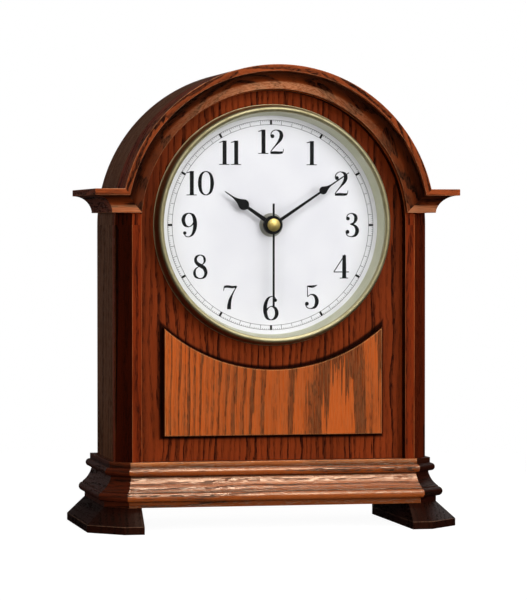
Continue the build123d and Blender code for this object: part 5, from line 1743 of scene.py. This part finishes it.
@dataclass
class DialPrint:
    """Figures and minute track printed on the dial.

    Attributes:
        weight: Factor on the pen's widths.
        pair_gap: Gap between two figures, in shares of their height.
        front: Depth of the ink's face.
        back: Depth to which the ink reaches into the dial.
    """

    height: float = 15.2
    figure_radius: float = 52.5
    weight: float = 1.2
    pair_gap: float = 0.06
    track_outer: float = 66.2
    track_inner: float = 63.3
    track_line: float = 0.26
    fine_line: float = 0.24
    fine_length: float = 0.95
    fine_parts: int = 5
    block_width: float = 1.4
    dot_steps: int = 24
    circle_steps: int = 240
    proud: float = 0.03
    sunk: float = 0.02
    front: float = AT.dial_front - proud
    back: float = AT.dial_front + sunk
    centre: tuple[float, float] = (0.0, AT.arch_z)

    def ink(self, path: Array, width: Array, closed: bool) -> Surface:
        """Thin solid of ink: a flat section, as wide as the pen, carried along a path in X and Z.

        Args:
            path: Points of shape (n, 2).
            width: Pen width at each point.
            closed: Whether the end joins the start.

        Returns:
            The surface.
        """
        ends = (np.roll(path, -1, 0) - np.roll(path, 1, 0)) if closed else np.gradient(path, axis=0)
        way = ends / np.linalg.norm(ends, axis=1, keepdims=True)
        reach = np.stack([-way[:, 1], way[:, 0]], -1) * width[:, None] / 2
        corners = [in_depth(path + reach, self.front), in_depth(path - reach, self.front),
                   in_depth(path - reach, self.back), in_depth(path + reach, self.back)]
        return Surface.loft(np.stack(corners, 1), ring=closed)

    def dot(self, x: float, z: float, radius: float) -> Surface:
        """Thin round of ink."""
        outline = radius * circle(self.dot_steps) + [x, z]
        return Surface.loft(np.stack([in_depth(outline, depth) for depth in (self.back, self.front)]))

    @staticmethod
    def smooth(knots: Array, closed: bool, steps: int = 8) -> Array:
        """Curve through knots: on each span the cubic whose slopes are half the chord of the neighbours.

        Args:
            knots: Knots of shape (n, 3).
            closed: Whether the last knot joins the first.
            steps: Points on each span.

        Returns:
            Points on the curve.
        """
        around = np.concatenate([knots[-1:], knots, knots[:2]]) if closed else np.concatenate(
            [2 * knots[:1] - knots[1:2], knots, 2 * knots[-1:] - knots[-2:-1]])
        a, b, c, d = around[:-3, None], around[1:-2, None], around[2:-1, None], around[3:, None]
        t = np.linspace(0, 1, steps, endpoint=False)[None, :, None]
        cubic = b + t / 2 * (c - a + t * (2 * a - 5 * b + 4 * c - d + t * (3 * (b - c) + d - a)))
        points = cubic.reshape(-1, 3)
        return points if closed else np.concatenate([points, knots[-1:]])

    def figure(self, figure: Figure, x: float, z: float) -> list[Surface]:
        """One figure on the dial.

        Args:
            figure: The figure.
            x: Place of its left edge.
            z: Height of its foot.

        Returns:
            A surface for each stroke and ball.
        """
        shells = []
        for stroke in figure.strokes:
            path = self.smooth(np.array(stroke) / FIGURE_HEIGHT, figure.closed) * self.height
            shells.append(self.ink(path[:, :2] + [x, z], self.weight * path[:, 2], figure.closed))
        for ball in figure.balls:
            across, up, radius = np.array(ball) / FIGURE_HEIGHT * self.height
            shells.append(self.dot(x + across, z + up, radius))
        return shells

    def hours(self) -> Surface:
        """Figures 1 to 12, upright round the dial.

        Returns:
            The surface.
        """
        shells = []
        for hour in range(1, 13):
            angle = np.radians(30 * hour)
            figures = [FIGURES[digit] for digit in str(hour)]
            width = sum(f.width for f in figures) / FIGURE_HEIGHT + self.pair_gap * (len(figures) - 1)
            x = self.figure_radius * np.sin(angle) - width * self.height / 2
            z = self.centre[1] + self.figure_radius * np.cos(angle) - self.height / 2
            for figure in figures:
                shells += self.figure(figure, x, z)
                x += (figure.width / FIGURE_HEIGHT + self.pair_gap) * self.height
        return total(shells)

    def tick(self, minute: float, width: float, start: float, end: float) -> Surface:
        """Straight mark along a radius.

        Args:
            minute: Minute that it stands at.
            width: Its width.
            start: Radius of its inner end.
            end: Radius of its outer end.

        Returns:
            The surface.
        """
        angle = np.radians(6 * minute)
        way = np.array([np.sin(angle), np.cos(angle)])
        path = np.array([start * way, end * way]) + self.centre
        return self.ink(path, np.array([width, width]), False)

    def track(self) -> Surface:
        """Two circles, a thin mark for each minute between them and short marks for its fifths.

        Returns:
            The surface.
        """
        pen = np.full(self.circle_steps, self.track_line)
        shells = [self.ink(radius * circle(self.circle_steps) + self.centre, pen, True)
                  for radius in (self.track_inner, self.track_outer)]
        shells += [self.tick(minute, self.track_line, self.track_inner, self.track_outer)
                   for minute in range(60) if minute % 5]
        fine_start = self.track_outer - self.fine_length
        shells += [self.tick(part / self.fine_parts, self.fine_line, fine_start, self.track_outer)
                   for part in range(60 * self.fine_parts) if part % self.fine_parts]
        return total(shells)

    def blocks(self) -> Surface:
        """Bold mark at every fifth minute.

        Returns:
            The surface.
        """
        edge = self.track_line / 2
        return total([self.tick(minute, self.block_width, self.track_inner - edge, self.track_outer + edge)
                      for minute in range(0, 60, 5)])

    def build(self) -> None:
        """Prints the dial."""
        ink = INK.material()
        add_piece("dial_figures", self.hours(), ink)
        add_piece("dial_blocks", self.blocks(), ink)
        add_piece("dial_track", self.track(), TRACK_INK.material())


# Small fasteners


@dataclass
class Screws:
    """Cross-headed screws of the back frame, the hinges and the dial pan.

    Attributes:
        head_radius: Radius of the back frame's heads, which the next sizes belong to.
        rim_share: Share of a head's rise at its edge.
        slot: Half the width of the cross.
        slot_length: Half its length.
        sunk: How far a head reaches into what it sits on.
        tip: Share of the radius that the innermost ring of points has.
        leaf_edge: Distance of the hinges' screws from a leaf's outer edge.
        hinge_middles: Heights of the hinges' middles above their lowest point.
        back_turns: Where the back frame's screws lie on the arch, in degrees.
    """

    head_radius: float = 2.6
    head_rise: float = 0.9
    rim_share: float = 0.35
    slot: float = 0.42
    slot_length: float = 1.5
    slot_depth: float = 0.7
    hinge_radius: float = 1.5
    pan_radius: float = 2.0
    sunk: float = 0.2
    tip: float = 0.04
    rings: int = 12
    steps: int = 48
    leaf: float = 0.8
    leaf_edge: float = 3.4
    hinge_middles: tuple[float, float] = (10.5, 80.5)
    hinge_reach: float = 7.0
    pan_bore: float = 71.6
    back_turns: Levels = (35.0, 90.0, 145.0)
    pan_turns: Levels = (45.0, 135.0, 225.0, 315.0)

    def head(self, x: float, face: float, z: float, radius: float) -> Surface:
        """Domed head: y = h (s + (1 - s) (1 - (r/R)^2)), less the cross's depth where |x| or |z| is small.

        Args:
            x: Place of the axis.
            face: Depth of the surface that the screw sits on.
            z: Height of the axis.
            radius: Radius of the head.

        Returns:
            The surface.
        """
        share = radius / self.head_radius
        rings = np.linspace(1, self.tip, self.rings)[:, None] * radius
        across, up = (rings * part for part in circle(self.steps).T)
        narrow = np.minimum(np.abs(across), np.abs(up))
        wide = np.maximum(np.abs(across), np.abs(up))
        cross = (narrow < self.slot * share) & (wide < self.slot_length * share)
        swell = self.rim_share + (1 - self.rim_share) * (1 - (rings / radius) ** 2)
        dome = self.head_rise * share * swell
        rise = np.where(cross, dome - self.slot_depth * share, np.broadcast_to(dome, across.shape))
        skirt = np.stack([x + across[0], np.full_like(across[0], face - self.sunk), z + up[0]], -1)[None]
        crown = np.stack([x + across, face + rise, z + up], -1)
        return Surface.loft(np.concatenate([skirt, crown]))

    def build(self) -> None:
        """Sets the screws."""
        brass, steel = FITTING_BRASS.material(), SPRING_STEEL.material()
        holes = [low("hinge_frame_leaves")[2] + middle + reach for middle in self.hinge_middles
                 for reach in (-self.hinge_reach, self.hinge_reach)]
        for name, x, body in (("frame", high("hinge_frame_leaves")[0] - self.leaf_edge, Body.CASE),
                              ("door", low("hinge_door_leaves")[0] + self.leaf_edge, Body.DOOR)):
            heads = [self.head(x, AT.case_back + self.leaf, z, self.hinge_radius) for z in holes]
            add_piece(f"hinge_screws_{name}", total(heads), brass, body=body)
        middle = (high("back_frame")[0] + high("back_door")[0]) / 2
        around = about_dial(middle, np.radians(self.back_turns), AT.case_back).tolist()
        sill = (AT.base_top + low("back_door")[2]) / 2
        heights = (sill, (sill + AT.arch_z) / 2)
        around += [(side.value * middle, AT.case_back, z) for side in Side for z in heights]
        around += [(0.0, AT.case_back, sill)]
        back = [self.head(*place, self.head_radius) for place in around]
        add_piece("back_frame_screws", total(back), steel)
        flange, face = (high("dial_pan")[0] + self.pan_bore) / 2, high("dial_pan")[1]
        pan = [self.head(*place, self.pan_radius)
               for place in about_dial(flange, np.radians(self.pan_turns), face)]
        add_piece("dial_pan_screws", total(pan), steel)


def dress(node: str, material: bpy.types.Material) -> None:
    """Gives a frame node its finish.

    Args:
        node: Name of the node.
        material: The finish.
    """
    slots = frame["nodes"][node].data.materials
    slots.clear()
    slots.append(material)
    log.info("%s: dressed with %s", node, material.name)


def dress_frame_nodes() -> None:
    """Gives every frame node that stays in view the finish named by its material slot."""
    materials = {finish.name: finish.material() for finish in DRESSED}
    for node, slot in SLOTS.items():
        if slot in materials:
            dress(node, materials[slot])


# Studio


def aim(item: bpy.types.Object, place: Vector, way: Vector) -> None:
    """Sets a camera or lamp at a place, looking along a way.

    Args:
        item: The camera or lamp.
        place: Where it is, in metres.
        way: Where it looks.
    """
    item.location = place
    item.rotation_mode = "QUATERNION"
    item.rotation_quaternion = way.to_track_quat("-Z", "Y")


class LampUse(Enum):
    """What a lamp is for: plain light on every surface, or only what glossy surfaces mirror."""

    LIGHT = "light"
    GLOSS = "gloss"


@dataclass(frozen=True)
class Lamp:
    """Soft rectangular lamp that faces the clock.

    Attributes:
        use: What it lights.
        azimuth: Degrees to the right of the clock's front.
        elevation: Degrees above the table.
        distance: Distance from the clock's middle, in metres.
        size: Width and height, in metres.
        power: Power in watts.
        middle: Height of the clock's middle, in metres.
    """

    name: str
    use: LampUse
    azimuth: float
    elevation: float
    distance: float
    size: tuple[float, float]
    power: float
    middle: float = 0.15

    def build(self) -> None:
        """Hangs the lamp."""
        data = bpy.data.lights.new(self.name, "AREA")
        data.shape = "RECTANGLE"
        data.size, data.size_y = self.size
        data.energy = self.power
        lamp = in_scene(self.name, data)
        lamp.visible_glossy = self.use is LampUse.GLOSS
        lamp.visible_diffuse = self.use is LampUse.LIGHT
        turn, rise = np.radians([self.azimuth, self.elevation])
        way = Vector((np.sin(turn) * np.cos(rise), -np.cos(turn) * np.cos(rise), np.sin(rise)))
        aim(lamp, Vector((0.0, 0.0, self.middle)) + way * self.distance, -way)


@dataclass(frozen=True)
class Card:
    """Dark upright card, folded along a plan, that only reflections see.

    Attributes:
        plan: Points of its foot in X and Y, in metres.
        level: How bright it is.
        top: Height of its upper edge, in metres.
        bottom: Height of its foot.
    """

    name: str
    plan: Steps
    level: float
    top: float = 3.0
    bottom: float = -0.2

    def build(self) -> None:
        """Stands the card up."""
        points = [(x, y, z) for z in (self.bottom, self.top) for x, y in self.plan]
        count = len(self.plan)
        faces = [(i, i + 1, count + i + 1, count + i) for i in range(count - 1)]
        mesh = bpy.data.meshes.new(self.name)
        mesh.from_pydata(points, [], faces)
        n = Nodes.of_material(self.name)
        n.shade(base_color=BLACK, specular_ior_level=0.0, emission_color=WHITE, emission_strength=self.level)
        mesh.materials.append(n.owner)
        card = in_scene(self.name, mesh)
        for ray in ("camera", "diffuse", "shadow", "transmission"):
            setattr(card, f"visible_{ray}", False)


LAMPS = (Lamp("key", LampUse.LIGHT, 15.0, 30.0, 1.8, (0.9, 1.5), 17.0),
         Lamp("left_fill", LampUse.LIGHT, -36.0, 5.0, 2.2, (1.0, 0.8), 14.0),
         Lamp("right_fill", LampUse.LIGHT, 40.0, 6.0, 2.2, (1.0, 0.8), 16.0),
         Lamp("back_fill", LampUse.LIGHT, 180.0, 4.0, 2.2, (1.2, 0.8), 16.0),
         Lamp("sheen", LampUse.GLOSS, 12.0, 36.0, 1.6, (0.6, 0.65), 15.0),
         Lamp("overhead", LampUse.GLOSS, 8.0, 82.0, 1.6, (0.6, 0.3), 16.0),
         Lamp("back_sheen", LampUse.GLOSS, 150.0, 22.0, 1.6, (0.8, 0.8), 14.0))

CARDS = (Card("left_card", ((-0.75, -1.3), (-0.7, 0.7), (0.0, 1.8)), 0.08),
         Card("right_card", ((0.75, -0.5), (0.7, 0.7), (0.0, 1.8)), 0.04),
         Card("front_card", ((-0.6, -2.6), (1.6, -2.6)), 0.12, 0.9))


@dataclass
class Studio:
    """Floor, lights and camera.

    Attributes:
        eye: Place of the camera, in millimetres.
        azimuth: Camera's turn to the right, in degrees.
        dip: Camera's tilt down, in degrees.
        lens: Focal length, in millimetres.
        clip: Nearest and furthest distances that the camera sees, in metres.
        floor_drop: How far the floor lies under the feet, in millimetres.
        floor_fade: Where the floor begins and ends to fade, in shares of its radius.
        floor_glow: Brightness of the floor for the camera.
        floor_tone: Grey of the floor for light.
        mirrored_floor: Share of that grey in mirrors.
        fill: Light from all round.
    """

    eye: tuple[float, float, float] = (-401.4, -1941.1, 188.5)
    azimuth: float = 11.702
    dip: float = 1.298
    lens: float = 185.96
    sensor: float = 36.0
    clip: tuple[float, float] = (0.05, 50.0)
    floor_radius: float = 1200.0
    floor_drop: float = 0.2
    floor_middle: float = 0.02
    floor_rings: int = 24
    floor_steps: int = 64
    floor_fade: tuple[float, float] = (0.2, 0.6)
    floor_glow: float = 0.94
    floor_tone: float = 0.26
    mirrored_floor: float = 0.15
    fill: float = 0.18

    def camera(self) -> None:
        """Camera at the photograph's place."""
        data = bpy.data.cameras.new("camera")
        data.lens = self.lens
        data.sensor_width = self.sensor
        data.clip_start, data.clip_end = self.clip
        camera = in_scene("camera", data)
        turn, dip = np.radians([self.azimuth, self.dip])
        forward = Vector((np.sin(turn) * np.cos(dip), np.cos(turn) * np.cos(dip), -np.sin(dip)))
        aim(camera, Vector(self.eye) * MM, forward)
        bpy.context.scene.camera = camera

    def world(self) -> None:
        """White for the camera, mirrors and glass, and a low grey fill for everything else."""
        n = Nodes(bpy.data.worlds.new("studio"), "Background")
        rays = n.add("LightPath").outputs
        seen = n.math("MAXIMUM", rays["Is Camera Ray"], rays["Is Glossy Ray"])
        clear = n.math("MAXIMUM", seen, rays["Is Transmission Ray"])
        n.shade(color=WHITE, strength=n.between(clear, 0.0, 1.0, self.fill, 1.0))
        bpy.context.scene.world = n.owner

    def floor(self) -> None:
        """Round pale floor that fades out, as rings of points about the clock."""
        rings = np.linspace(self.floor_middle, 1, self.floor_rings)[:, None] * self.floor_radius
        x, y = (rings * part for part in circle(self.floor_steps).T)
        points = np.stack([x, y, np.full_like(x, -self.floor_drop)], -1)
        index = np.arange(x.size).reshape(x.shape)
        here, there = index[:-1], index[1:]
        quads = np.stack([here, there, np.roll(there, -1, 1), np.roll(here, -1, 1)], -1).reshape(-1, 4)
        mesh = bpy.data.meshes.new("floor")
        mesh.from_pydata(points.reshape(-1, 3) * MM, [], quads.tolist() + [index[0].tolist()])
        n = Nodes.of_material("pale_floor")
        paper = n.clouds(n.place(), 0.3, 3.0)
        rays = n.add("LightPath").outputs
        seen = rays["Is Camera Ray"]
        mirrored = self.mirrored_floor * self.floor_tone
        tone = n.between(rays["Is Glossy Ray"], 0.0, 1.0, self.floor_tone, mirrored)
        tone = n.math("MULTIPLY", tone, n.between(paper, 0.3, 0.7, 0.98, 1.02))
        near, far = self.floor_radius * np.array(self.floor_fade)
        fade = n.between(n.length(n.place()), near, far, 1.0, 0.0)
        n.shade(base_color=tone, roughness=0.9, specular_ior_level=0.0, emission_color=WHITE,
                emission_strength=n.math("MULTIPLY", seen, self.floor_glow),
                alpha=n.math("MAXIMUM", fade, n.math("SUBTRACT", 1.0, seen)))
        mesh.materials.append(n.owner)
        in_scene("floor", mesh)

    def build(self) -> None:
        """Sets up the studio."""
        self.camera()
        self.world()
        self.floor()
        for item in LAMPS + CARDS:
            item.build()
        bpy.context.scene.view_settings.view_transform = "Standard"


def main() -> None:
    """Builds and dresses the clock, then sets up the studio."""
    for assembly in (Feet, BaseMoulding, CaseBody, Hood, FrontPanels, Back, DialGlass, DialPrint, Screws):
        assembly().build()
    dress_frame_nodes()
    Studio().build()


if __name__ == "__main__":
    main()
